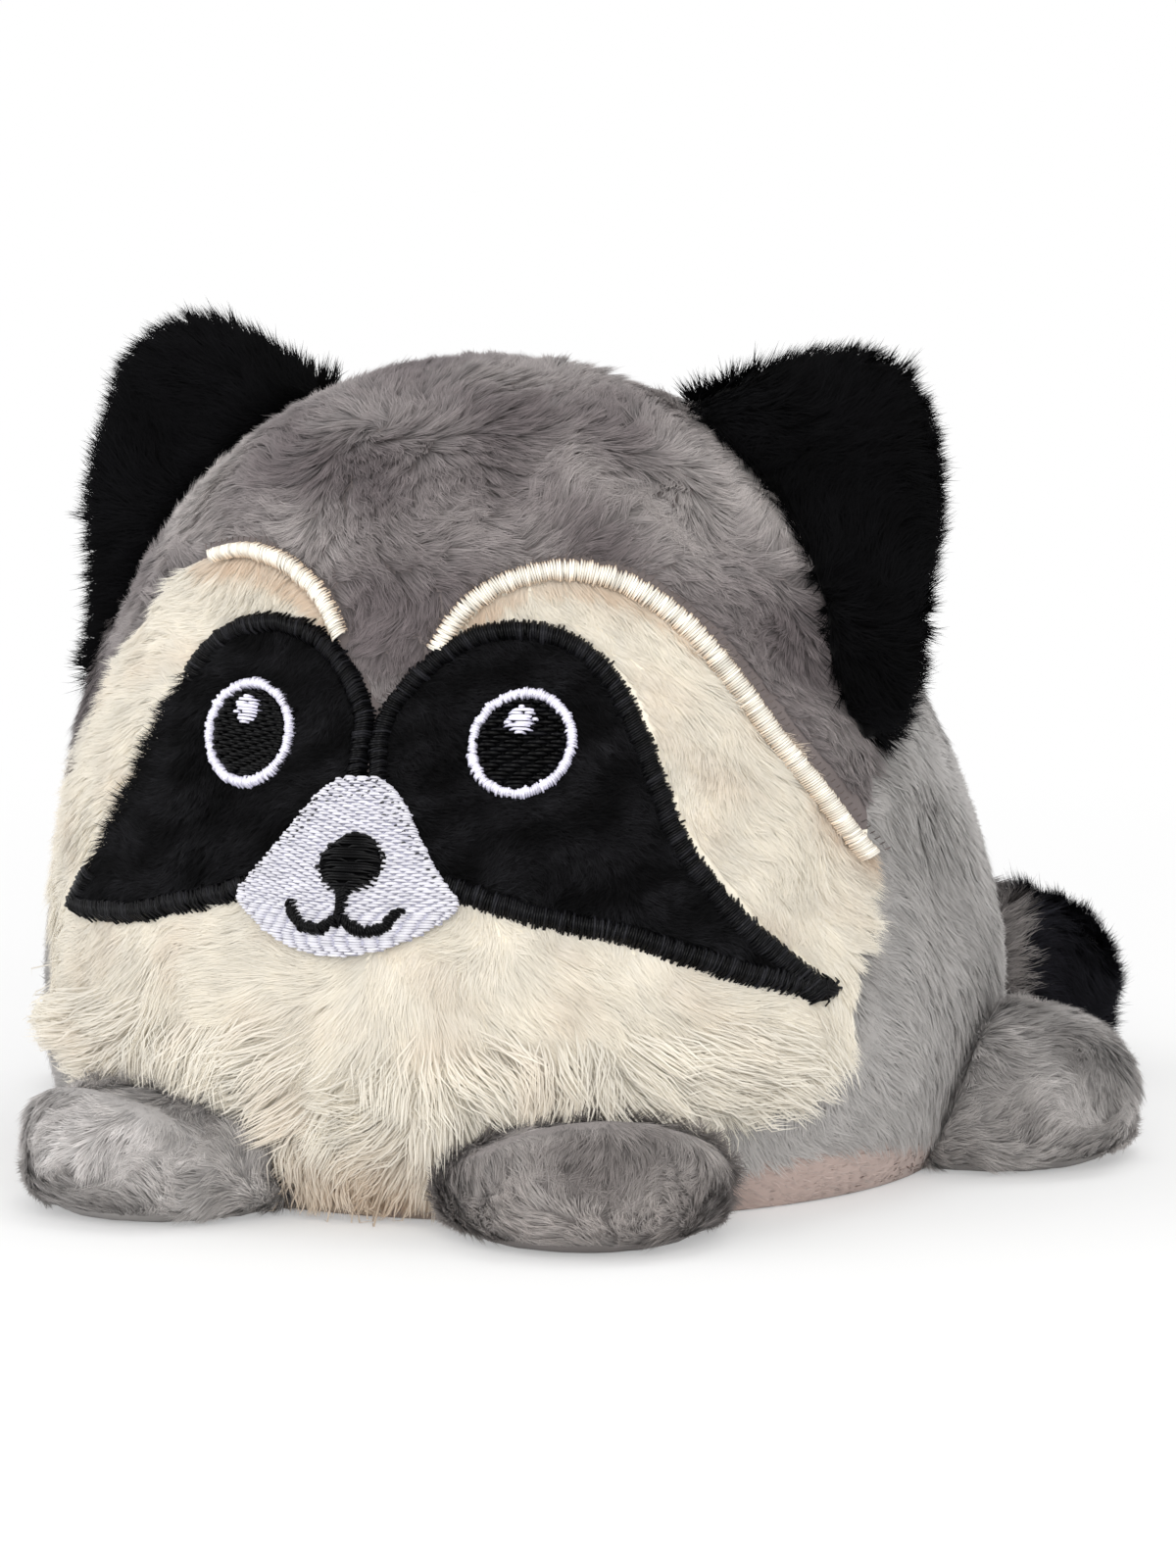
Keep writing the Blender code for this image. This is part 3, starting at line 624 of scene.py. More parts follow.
def grow(roots: Array, normals: Array, comb: Array, pile: Pile, colours: Array, rng: np.random.Generator,
         lengths: Array | None = None) -> Part:
    """Blades of pile on given roots.

    Args:
        roots: Where the blades start.
        normals: The skin's normals there.
        comb: Which way the pile is brushed there.
        pile: How the blades grow.
        colours: Linear colour of each blade.
        rng: Source of chance.
        lengths: Share of the pile's length for each blade, all of it where left out.

    Returns:
        The blades as a part with material 1.
    """
    count = len(roots)
    shares = np.ones(count) if lengths is None else lengths
    swirl = Waves(pile.seed, pile.swirl_size)
    comb = turned(flattened(comb, normals), normals, pile.swirl * swirl.at(roots))
    centres = rng.permutation(count)[:max(int(count / (pile.density * pile.clump**2)), 1)]
    tree = kdtree.KDTree(len(centres))
    for place, index in enumerate(centres):
        tree.insert(roots[index], place)
    tree.balance()
    owner = np.array([tree.find(root)[1] for root in roots])
    centre = centres[owner]
    chance = rng.normal(size=(len(centres), 4))[owner]
    blade_comb = turned(comb, normals, pile.stray * rng.normal(size=count))
    clump_comb = turned(comb[centre], normals[centre], pile.clump_stray * chance[:, 0])
    length = pile.length * MM * shares * np.clip(1 + pile.length_spread * rng.normal(size=count), 0.35, 1.7)
    clump_length = pile.length * MM * shares[centre] * np.clip(1 + 0.15 * chance[:, 1], 0.6, 1.4)
    rise = pile.rise * np.clip(1 + 0.3 * rng.normal(size=count), 0.2, 2.0)
    clump_rise = pile.rise * np.clip(1 + 0.35 * chance[:, 2], 0.3, 1.8)
    width = pile.width * MM * rng.uniform(0.7, 1.3, count)

    rows, lines = pile.runs + 1, []
    for step in range(rows):
        t = step / pile.runs
        along = t - 0.25 * (1 - pile.lean) * t * (1 - t)
        upward = rise * t + pile.lean * 0.9 * t * (1 - t)
        own = roots + length[:, None] * (blade_comb * along + normals * upward[:, None])
        up_clump = clump_rise * t + pile.lean * 0.9 * t * (1 - t)
        shared = roots[centre] + clump_length[:, None] * (clump_comb * along + normals[centre] * up_clump[:, None])
        lines.append(own + (shared - own) * pile.gather * t)
    line = np.stack(lines, axis=1)
    line[:, :, 2] = np.maximum(line[:, :, 2], 0.25 * MM)

    tangents = unit(np.gradient(line, axis=1))
    up = unit(normals + 0.25 * rng.normal(size=(count, 3)))
    across = unit(np.cross(tangents, up[:, None, :]))
    face = unit(np.cross(across, tangents))
    tilt = rng.normal(size=(len(centres), 3))[owner] * pile.tilt + pile.blade_tilt * rng.normal(size=(count, 3))
    spans = np.interp(np.arange(rows) / pile.runs, [0, 0.55, 1], [1.0, 1.0, 0.0])
    tone = (1 + pile.clump_tone * chance[:, 3] + pile.blade_tone * rng.normal(size=count)).clip(0.25, 2.0)
    points, facing, tints = [], [], []
    for row in range(rows):
        # Painted shade towards the root and painted highlight at the tip
        shade = np.interp(row / pile.runs, [0, 0.6, 1], [pile.root_shade, 1.0, pile.tip_shine])
        for side in ((-1, 1) if row < pile.runs else (0,)):
            points.append(line[:, row] + across[:, row] * (side * width * spans[row] / 2)[:, None])
            facing.append(unit(normals + 0.25 * face[:, row] + tilt + pile.roundness * side * across[:, row]))
            tints.append(colours * (tone * shade)[:, None])
    per = 2 * pile.runs + 1
    shape = []
    for row in range(pile.runs - 1):
        low = 2 * row
        shape += [(low, low + 1, low + 3), (low, low + 3, low + 2)]
    shape.append((2 * pile.runs - 2, 2 * pile.runs - 1, 2 * pile.runs))
    triangles = (np.arange(count)[:, None, None] * per + np.array(shape)[None]).reshape(-1, 3)
    return Part(np.stack(points, axis=1).reshape(-1, 3), np.stack(facing, axis=1).reshape(-1, 3), triangles,
                np.stack(tints, axis=1).reshape(-1, 3).clip(0, 1), 1)


@dataclass(frozen=True)
class Thread:
    """Embroidery thread as it lies on the cloth, in millimetres."""

    radius: float
    arch: float
    dive: float
    tint: str
    # Tint at both ends of a stitch: painted shade on the flanks where it dives into the cloth
    end_shade_tint: str | None = None
    tone: float = 0.06
    runs: int = 4


def lay_threads(ball: Ball, starts: Array, ends: Array, height: Array | float, thread: Thread,
                rng: np.random.Generator, material: int = 0) -> Part:
    """Stitches that run over the ball's front from hole to hole.

    Args:
        ball: The form they lie on.
        starts: First holes as (x, z), in metres.
        ends: Second holes.
        height: Height of the cloth under them over the ball's surface, in millimetres.
        thread: The thread.
        rng: Source of chance.
        material: Index of the thread's material.

    Returns:
        The threads as a part.
    """
    count, rows = len(starts), thread.runs + 1
    shares = np.linspace(0, 1, rows)
    drawn = starts[:, None, :] * (1 - shares)[None, :, None] + ends[:, None, :] * shares[None, :, None]
    profile = thread.arch * (1 - (2 * shares - 1) ** 4)
    profile[[0, -1]] -= thread.dive
    lifts = np.broadcast_to(np.asarray(height, float).reshape(-1, 1), (count, 1)) + profile[None, :]
    lifts = lifts + 0.25 * thread.radius * rng.normal(size=(count, 1))
    points, normals = ball.seen(drawn.reshape(-1, 2), lifts.reshape(-1))
    points, normals = points.reshape(count, rows, 3), normals.reshape(count, rows, 3)
    along = unit(np.gradient(points, axis=1))
    across = unit(np.cross(along, normals))
    up = np.cross(across, along)
    thick = thread.radius * MM * rng.uniform(0.85, 1.12, (count, 1, 1)) * np.ones((1, rows, 1))
    thick[:, [0, -1]] *= 0.7
    rim = np.radians([-105, -55, 0, 55, 105])
    facing = np.stack([across * math.sin(a) + up * math.cos(a) for a in rim], axis=2)
    places = points[:, :, None, :] + facing * thick[:, :, None, :]
    tone = np.exp(thread.tone * rng.normal(size=count)).clip(0.3, 4)
    # Painted shade: towards both ends a stitch takes the darker end tint
    end_shade = (np.abs(2 * shares - 1) ** 2)[:, None]
    row_tints = linear(thread.tint) * (1 - end_shade) + linear(thread.end_shade_tint or thread.tint) * end_shade
    tints = (row_tints[None] * tone[:, None, None])[:, :, None, :] * np.ones((1, 1, len(rim), 1))
    shape = []
    for row in range(rows - 1):
        for k in range(len(rim) - 1):
            low, high = row * len(rim) + k, (row + 1) * len(rim) + k
            shape += [(low, high, high + 1), (low, high + 1, low + 1)]
    per = rows * len(rim)
    triangles = (np.arange(count)[:, None, None] * per + np.array(shape)[None]).reshape(-1, 3)
    return Part(places.reshape(-1, 3), facing.reshape(-1, 3), triangles, tints.reshape(-1, 3).clip(0, 1), material)


def add_node(tree: bpy.types.NodeTree, kind: str, links: dict[str, bpy.types.NodeSocket] | None = None,
             **settings: object) -> bpy.types.Node:
    """A shader node with its settings and its incoming links.

    Args:
        tree: The material's node tree.
        kind: The node's type.
        links: Input name to the output that feeds it.
        settings: Input values by name with _ for a space, or the node's own properties.

    Returns:
        The node.
    """
    node = tree.nodes.new(kind)
    for name, value in settings.items():
        socket = name.replace("_", " ")
        if socket in node.inputs:
            node.inputs[socket].default_value = value
        else:
            setattr(node, name, value)
    for name, source in (links or {}).items():
        tree.links.new(source, node.inputs[name])
    return node


@dataclass(frozen=True)
class Cloth:
    """Knitted backing and pile of plush, coloured by the piece's tint."""

    name: str
    roughness: float
    sheen: float
    glow: float
    grain: float

    def make(self) -> bpy.types.Material:
        """The material.

        Returns:
            A new material.
        """
        material = bpy.data.materials.new(self.name)
        material.use_nodes = True
        tree = material.node_tree
        tree.nodes.clear()
        tint = add_node(tree, "ShaderNodeAttribute", attribute_name="tint")
        place = add_node(tree, "ShaderNodeTexCoord")
        # Slight unevenness of the dye, in patches of a few millimetres
        cloud = add_node(tree, "ShaderNodeTexNoise", {"Vector": place.outputs["Object"]}, Scale=140.0, Detail=3.0)
        tone = add_node(tree, "ShaderNodeMapRange", {"Value": cloud.outputs["Fac"]}, From_Min=0.3, From_Max=0.7,
                        To_Min=1 - self.grain, To_Max=1 + self.grain)
        colour = add_node(tree, "ShaderNodeVectorMath", {0: tint.outputs["Color"], 1: tone.outputs["Result"]},
                          operation="MULTIPLY")
        shader = add_node(tree, "ShaderNodeBsdfPrincipled", {"Base Color": colour.outputs["Vector"]},
                          Roughness=self.roughness, Sheen_Weight=self.sheen, Sheen_Roughness=0.5)
        shader.inputs["Specular IOR Level"].default_value = 0.08
        through = add_node(tree, "ShaderNodeBsdfTranslucent", {"Color": colour.outputs["Vector"]})
        mixed = add_node(tree, "ShaderNodeMixShader", {1: shader.outputs["BSDF"], 2: through.outputs["BSDF"]},
                         Fac=self.glow)
        add_node(tree, "ShaderNodeOutputMaterial", {"Surface": mixed.outputs["Shader"]})
        return material


@dataclass(frozen=True)
class Satin:
    """Shiny polyester embroidery thread, coloured by the piece's tint."""

    name: str
    roughness: float
    shine: float

    def make(self) -> bpy.types.Material:
        """The material.

        Returns:
            A new material.
        """
        material = bpy.data.materials.new(self.name)
        material.use_nodes = True
        tree = material.node_tree
        tree.nodes.clear()
        tint = add_node(tree, "ShaderNodeAttribute", attribute_name="tint")
        place = add_node(tree, "ShaderNodeTexCoord")
        # Filaments of the twisted thread, finer than the thread itself
        strand = add_node(tree, "ShaderNodeTexNoise", {"Vector": place.outputs["Object"]}, Scale=5200.0, Detail=1.0)
        bump = add_node(tree, "ShaderNodeBump", {"Height": strand.outputs["Fac"]}, Strength=0.35, Distance=0.00006)
        shader = add_node(tree, "ShaderNodeBsdfPrincipled",
                          {"Base Color": tint.outputs["Color"], "Normal": bump.outputs["Normal"]},
                          Roughness=self.roughness)
        shader.inputs["Specular IOR Level"].default_value = self.shine
        add_node(tree, "ShaderNodeOutputMaterial", {"Surface": shader.outputs["BSDF"]})
        return material


class Finish(Enum):
    """The finishes of the toy's cloth and thread."""

    BACKING = Cloth("plush knitted backing", 0.95, 0.1, 0.0, 0.12)
    PILE = Cloth("plush brushed pile", 0.85, 0.15, 0.35, 0.06)
    BLACK_PILE = Cloth("black plush brushed pile", 0.9, 0.0, 0.1, 0.06)
    VELVET = Cloth("black velvet pile", 0.85, 0.0, 0.05, 0.10)
    BEIGE = Cloth("beige base cloth", 0.9, 0.3, 0.0, 0.06)
    THREAD = Satin("polyester embroidery thread", 0.34, 0.6)
    BLACK_THREAD = Satin("black polyester embroidery thread", 0.28, 0.11)


class Wardrobe:
    """Makes each finish's material once."""

    def __init__(self) -> None:
        """Starts with no material."""
        self.made: dict[Finish, bpy.types.Material] = {}

    def get(self, finish: Finish) -> bpy.types.Material:
        """The material of a finish.

        Args:
            finish: The finish.

        Returns:
            Its material.
        """
        if finish not in self.made:
            self.made[finish] = finish.value.make()
        return self.made[finish]


@dataclass
class Workshop:
    """Turns parts into pieces of the scene and keeps count of them."""

    wardrobe: Wardrobe = field(default_factory=Wardrobe)
    total: int = 0

    def piece(self, name: str, parts: Sequence[Part], finishes: Sequence[Finish], nodes: Sequence[str],
              slot: str, fill: float | None = None) -> bpy.types.Object:
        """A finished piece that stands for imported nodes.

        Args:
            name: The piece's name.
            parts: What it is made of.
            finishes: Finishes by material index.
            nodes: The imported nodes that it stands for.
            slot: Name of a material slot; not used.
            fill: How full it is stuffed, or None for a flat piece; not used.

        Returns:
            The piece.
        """
        starts = np.cumsum([0] + [len(part.points) for part in parts])
        triangles = np.concatenate([part.triangles + start for part, start in zip(parts, starts)])
        points = np.concatenate([part.points for part in parts])
        normals = unit(np.concatenate([part.normals for part in parts]))
        corners = points[triangles]
        facing = np.cross(corners[:, 1] - corners[:, 0], corners[:, 2] - corners[:, 0])
        inward = np.sum(facing * normals[triangles].sum(axis=1), axis=1) < 0
        triangles[inward] = triangles[inward][:, ::-1]
        mesh = bpy.data.meshes.new(name)
        mesh.vertices.add(len(points))
        mesh.vertices.foreach_set("co", points.astype(np.float32).ravel())
        mesh.loops.add(triangles.size)
        mesh.loops.foreach_set("vertex_index", triangles.astype(np.int32).ravel())
        mesh.polygons.add(len(triangles))
        mesh.polygons.foreach_set("loop_start", np.arange(0, triangles.size, 3, dtype=np.int32))
        indices = np.concatenate([np.full(len(part.triangles), part.material) for part in parts])
        mesh.polygons.foreach_set("material_index", indices.astype(np.int32))
        mesh.update(calc_edges=True)
        tints = np.concatenate([part.tints for part in parts])
        colour = mesh.attributes.new("tint", "FLOAT_COLOR", "POINT")
        colour.data.foreach_set("color", np.c_[tints, np.ones(len(tints))].astype(np.float32).ravel())
        mesh.shade_smooth()
        mesh.normals_split_custom_set_from_vertices(normals)
        for finish in finishes:
            mesh.materials.append(self.wardrobe.get(finish))
        item = bpy.data.objects.new(name, mesh)
        bpy.context.scene.collection.objects.link(item)
        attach(item, "root")
        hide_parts(*nodes)
        self.total += len(triangles)
        LOG.info("%s: %d triangles", name, len(triangles))
        return item


class Region(Enum):
    """Cloths that the ball is sewn from."""

    BODY = "body"
    BASE = "base"
    FOREHEAD = "forehead"
    CREAM = "cream"


@dataclass
class StuffedBall:
    """The head and body: one ball of four cloths, with their pile."""

    ball: Ball
    pattern: Pattern
    workshop: Workshop
    turns: int = 180
    rings: int = 84
    skin_depth: float = 1.5
    ear_depth: float = 0.3
    body_rise: float = 0.5
    groove_depth: float = 0.9
    groove_spread: float = 1.6
    floor_gap: float = 0.15

    def __post_init__(self) -> None:
        """Draws the outlines once and makes the skin of the whole ball."""
        self.cream_loop = self.pattern.cream()
        self.patches = {side: self.pattern.patch(side) for side in SIDES.values()}
        self.muzzle = self.pattern.muzzle()
        self.satins = {side: self.pattern.stitched_brow(side) for side in SIDES.values()}
        self.skin = self.whole_skin()

    def whole_skin(self) -> Skin:
        """Skin of the whole ball, a little inside its surface, with a flat bottom.

        Returns:
            The skin.
        """
        ball = self.ball
        lowest = -math.asin(ball.waist / ball.sag)
        angles = np.arange(self.turns) * 2 * math.pi / self.turns
        points, normals = [], []
        for lift in np.linspace(lowest, math.pi / 2, self.rings, endpoint=False):
            reach = ball.height - ball.waist if lift > 0 else ball.sag
            z = np.full(self.turns, ball.waist + reach * math.sin(lift))
            points.append(ball.point(angles, z))
            normals.append(ball.normal(angles, z))
        count = self.turns
        points.append(np.array([[0, 0, ball.height * MM], [0, 0, 0]]))
        normals.append(np.array([[0, 0, 1.0], [0, 0, -1.0]]))
        flat = points[0] * (1, 1, 0)
        points.append(flat)
        normals.append(np.tile([0, 0, -1.0], (count, 1)))
        triangles = []
        for row in range(self.rings - 1):
            for i in range(count):
                low, next_low = row * count + i, row * count + (i + 1) % count
                triangles += [(low, next_low, next_low + count), (low, next_low + count, low + count)]
        top, bottom, rim = self.rings * count, self.rings * count + 1, self.rings * count + 2
        for i in range(count):
            triangles.append(((self.rings - 1) * count + i, (self.rings - 1) * count + (i + 1) % count, top))
            triangles.append((rim + (i + 1) % count, rim + i, bottom))
        all_points, all_normals = np.concatenate(points), np.concatenate(normals)
        groove = self.groove_depth * np.exp(-(self.seam_distance(all_points) / self.groove_spread)**2)
        # The cloth comes up to the ears where they are sewn in
        off_seam = (all_points[:, 1] - self.pattern.seam_y(all_points[:, 2])) / MM
        z = all_points[:, 2] / MM
        ear = np.exp(-((off_seam - 1.5) / 6.0) ** 2) * smooth_step(z, 48, 54) * smooth_step(z, 97, 92)
        depth = (self.skin_depth + groove) * (1 - ear) + self.ear_depth * ear
        depth = depth - self.body_rise * smooth_step(off_seam, 1, 5)
        depth = depth * (0.3 + 0.7 * smooth_step(all_points[:, 2] - self.pattern.base_z(all_points[:, 1]), 0, 5 * MM))
        moved = all_points - all_normals * (depth * MM)[:, None]
        # The flat bottom takes the lowest ring's outline
        moved[:, 2] = np.maximum(moved[:, 2], self.floor_gap * MM)
        moved[-count:] = moved[:count] * (1, 1, 0) + (0, 0, self.floor_gap * MM)
        return Skin(moved, all_normals, np.array(triangles))

    def brow_distance(self, drawn: Array) -> Array:
        """Distance from the nearest stitched brow.

        Args:
            drawn: Points (x, z) of the drawing, in metres.

        Returns:
            Distances in metres.
        """
        return np.minimum(*(distance(drawn, self.satins[side]) for side in SIDES.values()))

    def patch_distance(self, drawn: Array) -> Array:
        """Distance from the outline of the nearest eye patch.

        Args:
            drawn: Points (x, z) of the drawing, in metres.

        Returns:
            Distances in metres.
        """
        return np.minimum(*(distance(drawn, self.patches[side], closed=True) for side in SIDES.values()))

    def seam_distance(self, points: Array) -> Array:
        """Distance from the nearest seam of the ball.

        Args:
            points: Positions in metres.

        Returns:
            Distances in millimetres.
        """
        front = points[:, 1] < 0
        drawn = points[:, [0, 2]]
        seam = np.abs(points[:, 1] - self.pattern.seam_y(points[:, 2])) / MM
        base = np.abs(points[:, 2] - self.pattern.base_z(points[:, 1])) / MM
        brow = self.brow_distance(drawn) / MM
        return np.minimum(np.minimum(seam, base + 2), np.where(front, brow + 1.5, 99))

    def region(self, points: Array) -> Array:
        """Which cloth lies at some points.

        Args:
            points: Positions in metres.

        Returns:
            One Region a point.
        """
        front = points[:, 1] < self.pattern.seam_y(points[:, 2])
        cream = front & inside(points[:, [0, 2]], self.cream_loop)
        found = np.where(cream, Region.CREAM, np.where(front, Region.FOREHEAD, Region.BODY))
        return np.where(points[:, 2] < self.pattern.base_z(points[:, 1]), Region.BASE, found)

    def covered(self, points: Array, margin: float) -> Array:
        """Whether embroidery or a patch lies over points of the front.

        Args:
            points: Positions in metres.
            margin: How far the cover reaches in from its edge before it counts, in millimetres.

        Returns:
            True for each covered point.
        """
        drawn, ahead = points[:, [0, 2]], points[:, 1] < 0
        hidden = depth_inside(drawn, self.muzzle) > margin * MM
        for side in SIDES.values():
            hidden |= depth_inside(drawn, self.patches[side]) > margin * MM
        return hidden & ahead

    def regional_skin(self, region: Region) -> Skin:
        """The part of the ball's skin that one cloth makes.

        Args:
            region: The cloth.

        Returns:
            Its skin.
        """
        found = self.region(self.skin.points[self.skin.triangles].mean(axis=1))
        # Where a triangle crosses the brow, the darker cloth lies under the satin edge
        crossing = (self.region(self.skin.points)[self.skin.triangles] == Region.FOREHEAD).any(axis=1)
        found = np.where(crossing & (found == Region.CREAM), Region.FOREHEAD, found)
        return self.skin.where(found == region)

    def roots(self, region: Region, density: float, rng: np.random.Generator) -> tuple[Array, Array]:
        """Roots of pile over one cloth.

        Args:
            region: The cloth.
            density: Roots a square millimetre.
            rng: Source of chance.

        Returns:
            Positions and normals.
        """
        points, normals = self.skin.sample(density, rng)
        keep = (self.region(points) == region) & (normals[:, 2] > -0.95)
        points, normals = points[keep], normals[keep]
        clear = ~self.covered(points, -0.2 if region == Region.FOREHEAD else 0.5)
        if region in (Region.CREAM, Region.FOREHEAD):
            drawn = points[:, [0, 2]]
            bare = self.pattern.brow_width / 2 + (-0.1 if region == Region.FOREHEAD else -0.35)
            for side in SIDES.values():
                clear &= distance(drawn, self.satins[side]) > bare * MM
        return points[clear], normals[clear]

    def build_body(self) -> None:
        """The grey back and sides."""
        pile = Pile(density=8.8, length=3.1, width=0.28, rise=0.24, lean=0.7, clump=1.8, gather=0.42, swirl=0.8,
                    swirl_size=20, stray=0.30, clump_stray=0.35, root_shade=0.82, tip_shine=1.06,
                    clump_tone=0.035, blade_tone=0.05, tilt=0.13, blade_tilt=0.08, seed=11)
        rng = np.random.default_rng(11)
        points, normals = self.roots(Region.BODY, pile.density, rng)
        comb = np.tile([0.0, 0.35, -1.0], (len(points), 1))
        grey, dark = linear("cecbc9"), linear("bab7b5")
        cloud = Waves(12, 30).at(points)[:, None] * 0.5 + 0.5
        colours = blend(dark, grey, cloud)
        seam = np.abs(points[:, 1] - self.pattern.seam_y(points[:, 2]))
        # Painted shade: darker along the seam's crease
        colours = colours * (0.86 + 0.14 * smooth_step(seam, 1 * MM, 7 * MM))[:, None]
        # Painted light: lighter low down and darker towards the top
        colours = colours * (1.05 - 0.14 * smooth_step(points[:, 2], 15 * MM, 75 * MM))[:, None]
        blades = grow(points, normals, comb, pile, colours, rng)
        # The cloth under the pile is darker than the pile: painted shade between the blades
        skin = self.regional_skin(Region.BODY).part(linear("94918f"))
        self.workshop.piece("body_plush", [skin, blades], [Finish.BACKING, Finish.PILE], ["body"], "grey_plush", 0.8)

    def build_base(self) -> None:
        """The flat beige base panel."""
        pile = Pile(density=2.0, length=1.0, width=0.25, rise=0.4, lean=0.5, clump=1.0, gather=0.2, swirl=0.8,
                    swirl_size=15, stray=0.4, clump_stray=0.3, root_shade=0.85, tip_shine=1.05,
                    clump_tone=0.03, blade_tone=0.04, runs=1, seed=15)
        rng = np.random.default_rng(15)
        points, normals = self.roots(Region.BASE, pile.density, rng)
        comb = np.tile([1.0, 0.0, -0.2], (len(points), 1))
        colours = np.tile(linear("c4b2ab"), (len(points), 1))
        blades = grow(points, normals, comb, pile, colours, rng)
        skin = self.regional_skin(Region.BASE).part(linear("bba79f"))
        self.workshop.piece("base_cloth", [skin, blades], [Finish.BEIGE, Finish.BEIGE], ["base_panel"],
                            "beige_plush", 0.8)

    def forehead_comb(self, points: Array) -> Array:
        """Which way the forehead is brushed.

        Args:
            points: Positions in metres.

        Returns:
            One direction a point.
        """
        x, z = points[:, 0] / MM, points[:, 2] / MM
        outward = np.tanh(x / 18)
        comb = np.stack([0.9 * outward + 0.35, 0.2 + 0 * x, -0.55 - 0.1 * outward], axis=1)
        for side in SIDES.values():
            near = np.exp(-(((x - 40 * side) / 11) ** 2 + ((z - 80) / 13) ** 2))[:, None]
            comb = comb * (1 - near) + near * np.array([1.0 * side, 0.6, 0.55])
        crown = smooth_step(z, 88, 97)[:, None]
        return comb * (1 - crown) + crown * np.array([0.15, 1.0, 0.3])

    def build_forehead(self) -> None:
        """The brown-grey forehead panel, with swirls and lighter tufts by the ears."""
        pile = Pile(density=22, length=3.3, width=0.19, rise=0.28, lean=0.75, clump=1.2, gather=0.55, swirl=1.1,
                    swirl_size=14, stray=0.30, clump_stray=0.50, root_shade=0.60, tip_shine=1.32,
                    clump_tone=0.06, blade_tone=0.14, tilt=0.18, seed=21)
        rng = np.random.default_rng(21)
        points, normals = self.roots(Region.FOREHEAD, pile.density, rng)
        x, z = points[:, 0] / MM, points[:, 2] / MM
        tone = Waves(22, 17).at(points) * 0.5
        for side in SIDES.values():
            tone = tone + 1.8 * np.exp(-(((x - 33 * side) / 10) ** 2 + ((z - 84) / 11) ** 2))
        tone = tone + 0.2 * np.exp(-(((x - 3) / 9) ** 2 + ((z - 96) / 6) ** 2))
        brown, light = linear("7c7475"), linear("bab4b2")
        colours = blend(brown, light, (0.22 + 0.5 * tone)[:, None])
        drawn = points[:, [0, 2]]
        # Short beside the embroidery, so that no tuft lies over it
        near = np.minimum(self.brow_distance(drawn), self.patch_distance(drawn))
        lengths = 0.4 + 0.6 * smooth_step(near, 0.8 * MM, 5 * MM)
        blades = grow(points, normals, self.forehead_comb(points), pile, colours, rng, lengths)
        # The cloth under the pile is darker than the pile: painted shade between the blades
        skin = self.regional_skin(Region.FOREHEAD).part(linear("6d6564"))
        self.workshop.piece("forehead_plush", [skin, blades], [Finish.BACKING, Finish.PILE], ["forehead_panel"],
                            "dark_grey_plush", 0.8)

    def cream_comb(self, points: Array) -> Array:
        """Which way the cream panel is brushed.

        Args:
            points: Positions in metres.

        Returns:
            One direction a point.
        """
        x, z = points[:, 0] / MM, points[:, 2] / MM
        brow = np.stack([0.75 * np.sign(x), 0 * x, -0.8 + 0 * x], axis=1)
        away = np.stack([(x - 15) / 16, 0 * x, (z - 30) / 22 - 0.35], axis=1)
        away = away / np.maximum(np.linalg.norm(away, axis=1, keepdims=True), 0.35)
        chin = away + np.array([0, 0, -0.35])
        share = smooth_step(z, 32, 42)[:, None]
        return chin * (1 - share) + brow * share

    @staticmethod
    def above_paws(points: Array) -> Array:
        """Where the chin's pile hangs down, over a front paw or between the two.

        Args:
            points: Positions in metres.

        Returns:
            From 0 to 1 for each point.
        """
        x, z = points[:, 0] / MM, points[:, 2] / MM
        found = np.zeros(len(points))
        for node in ("front_paw_left", "front_paw_right"):
            corners = np.array([vertex.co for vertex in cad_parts[node].data.vertices]) / MM
            low, high = corners.min(axis=0), corners.max(axis=0)
            beside = np.exp(-((x - (low[0] + high[0]) / 2) / (0.55 * (high[0] - low[0]))) ** 4)
            above = smooth_step(z, high[2] - 7, high[2] - 3) * smooth_step(z, high[2] + 6, high[2] + 1)
            found = np.maximum(found, beside * above)
        between = np.exp(-(x / 13) ** 4) * smooth_step(z, 5, 9) * smooth_step(z, 19, 13)
        return np.maximum(found, between)

    def build_cream(self) -> None:
        """The cream face panel: short on the brows, long and clumped on the chin."""
        chin_pile = Pile(density=22.0, length=4.6, width=0.18, rise=0.22, lean=0.8, clump=2.2, gather=0.42,
                         swirl=0.7, swirl_size=18, stray=0.24, clump_stray=0.36, root_shade=0.96, tip_shine=1.02,
                         clump_tone=0.015, blade_tone=0.02, tilt=0.075, blade_tilt=0.045, seed=31)
        fringe_pile = replace(chin_pile, density=10.0, length=6.6, width=0.17, rise=0.40, lean=0.9, gather=0.55,
                              runs=2, seed=35)
        brow_pile = replace(chin_pile, density=24.0, length=3.1, rise=0.34, clump=1.4, swirl=0.7, swirl_size=13,
                            seed=32)
        rng = np.random.default_rng(31)
        cream, tan = linear("f1ece1"), linear("d9c0a6")
        blades = []
        for pile in (chin_pile, fringe_pile, brow_pile):
            points, normals = self.roots(Region.CREAM, pile.density, rng)
            chin = smooth_step(points[:, 2] / MM + 3.0 * Waves(33, 12).at(points), 39, 33)
            fringe = self.above_paws(points)
            share = {chin_pile: chin * (1 - 0.5 * fringe), fringe_pile: fringe, brow_pile: 1 - chin}[pile]
            keep = rng.random(len(points)) < share
            points, normals = points[keep], normals[keep]
            drawn = points[:, [0, 2]]
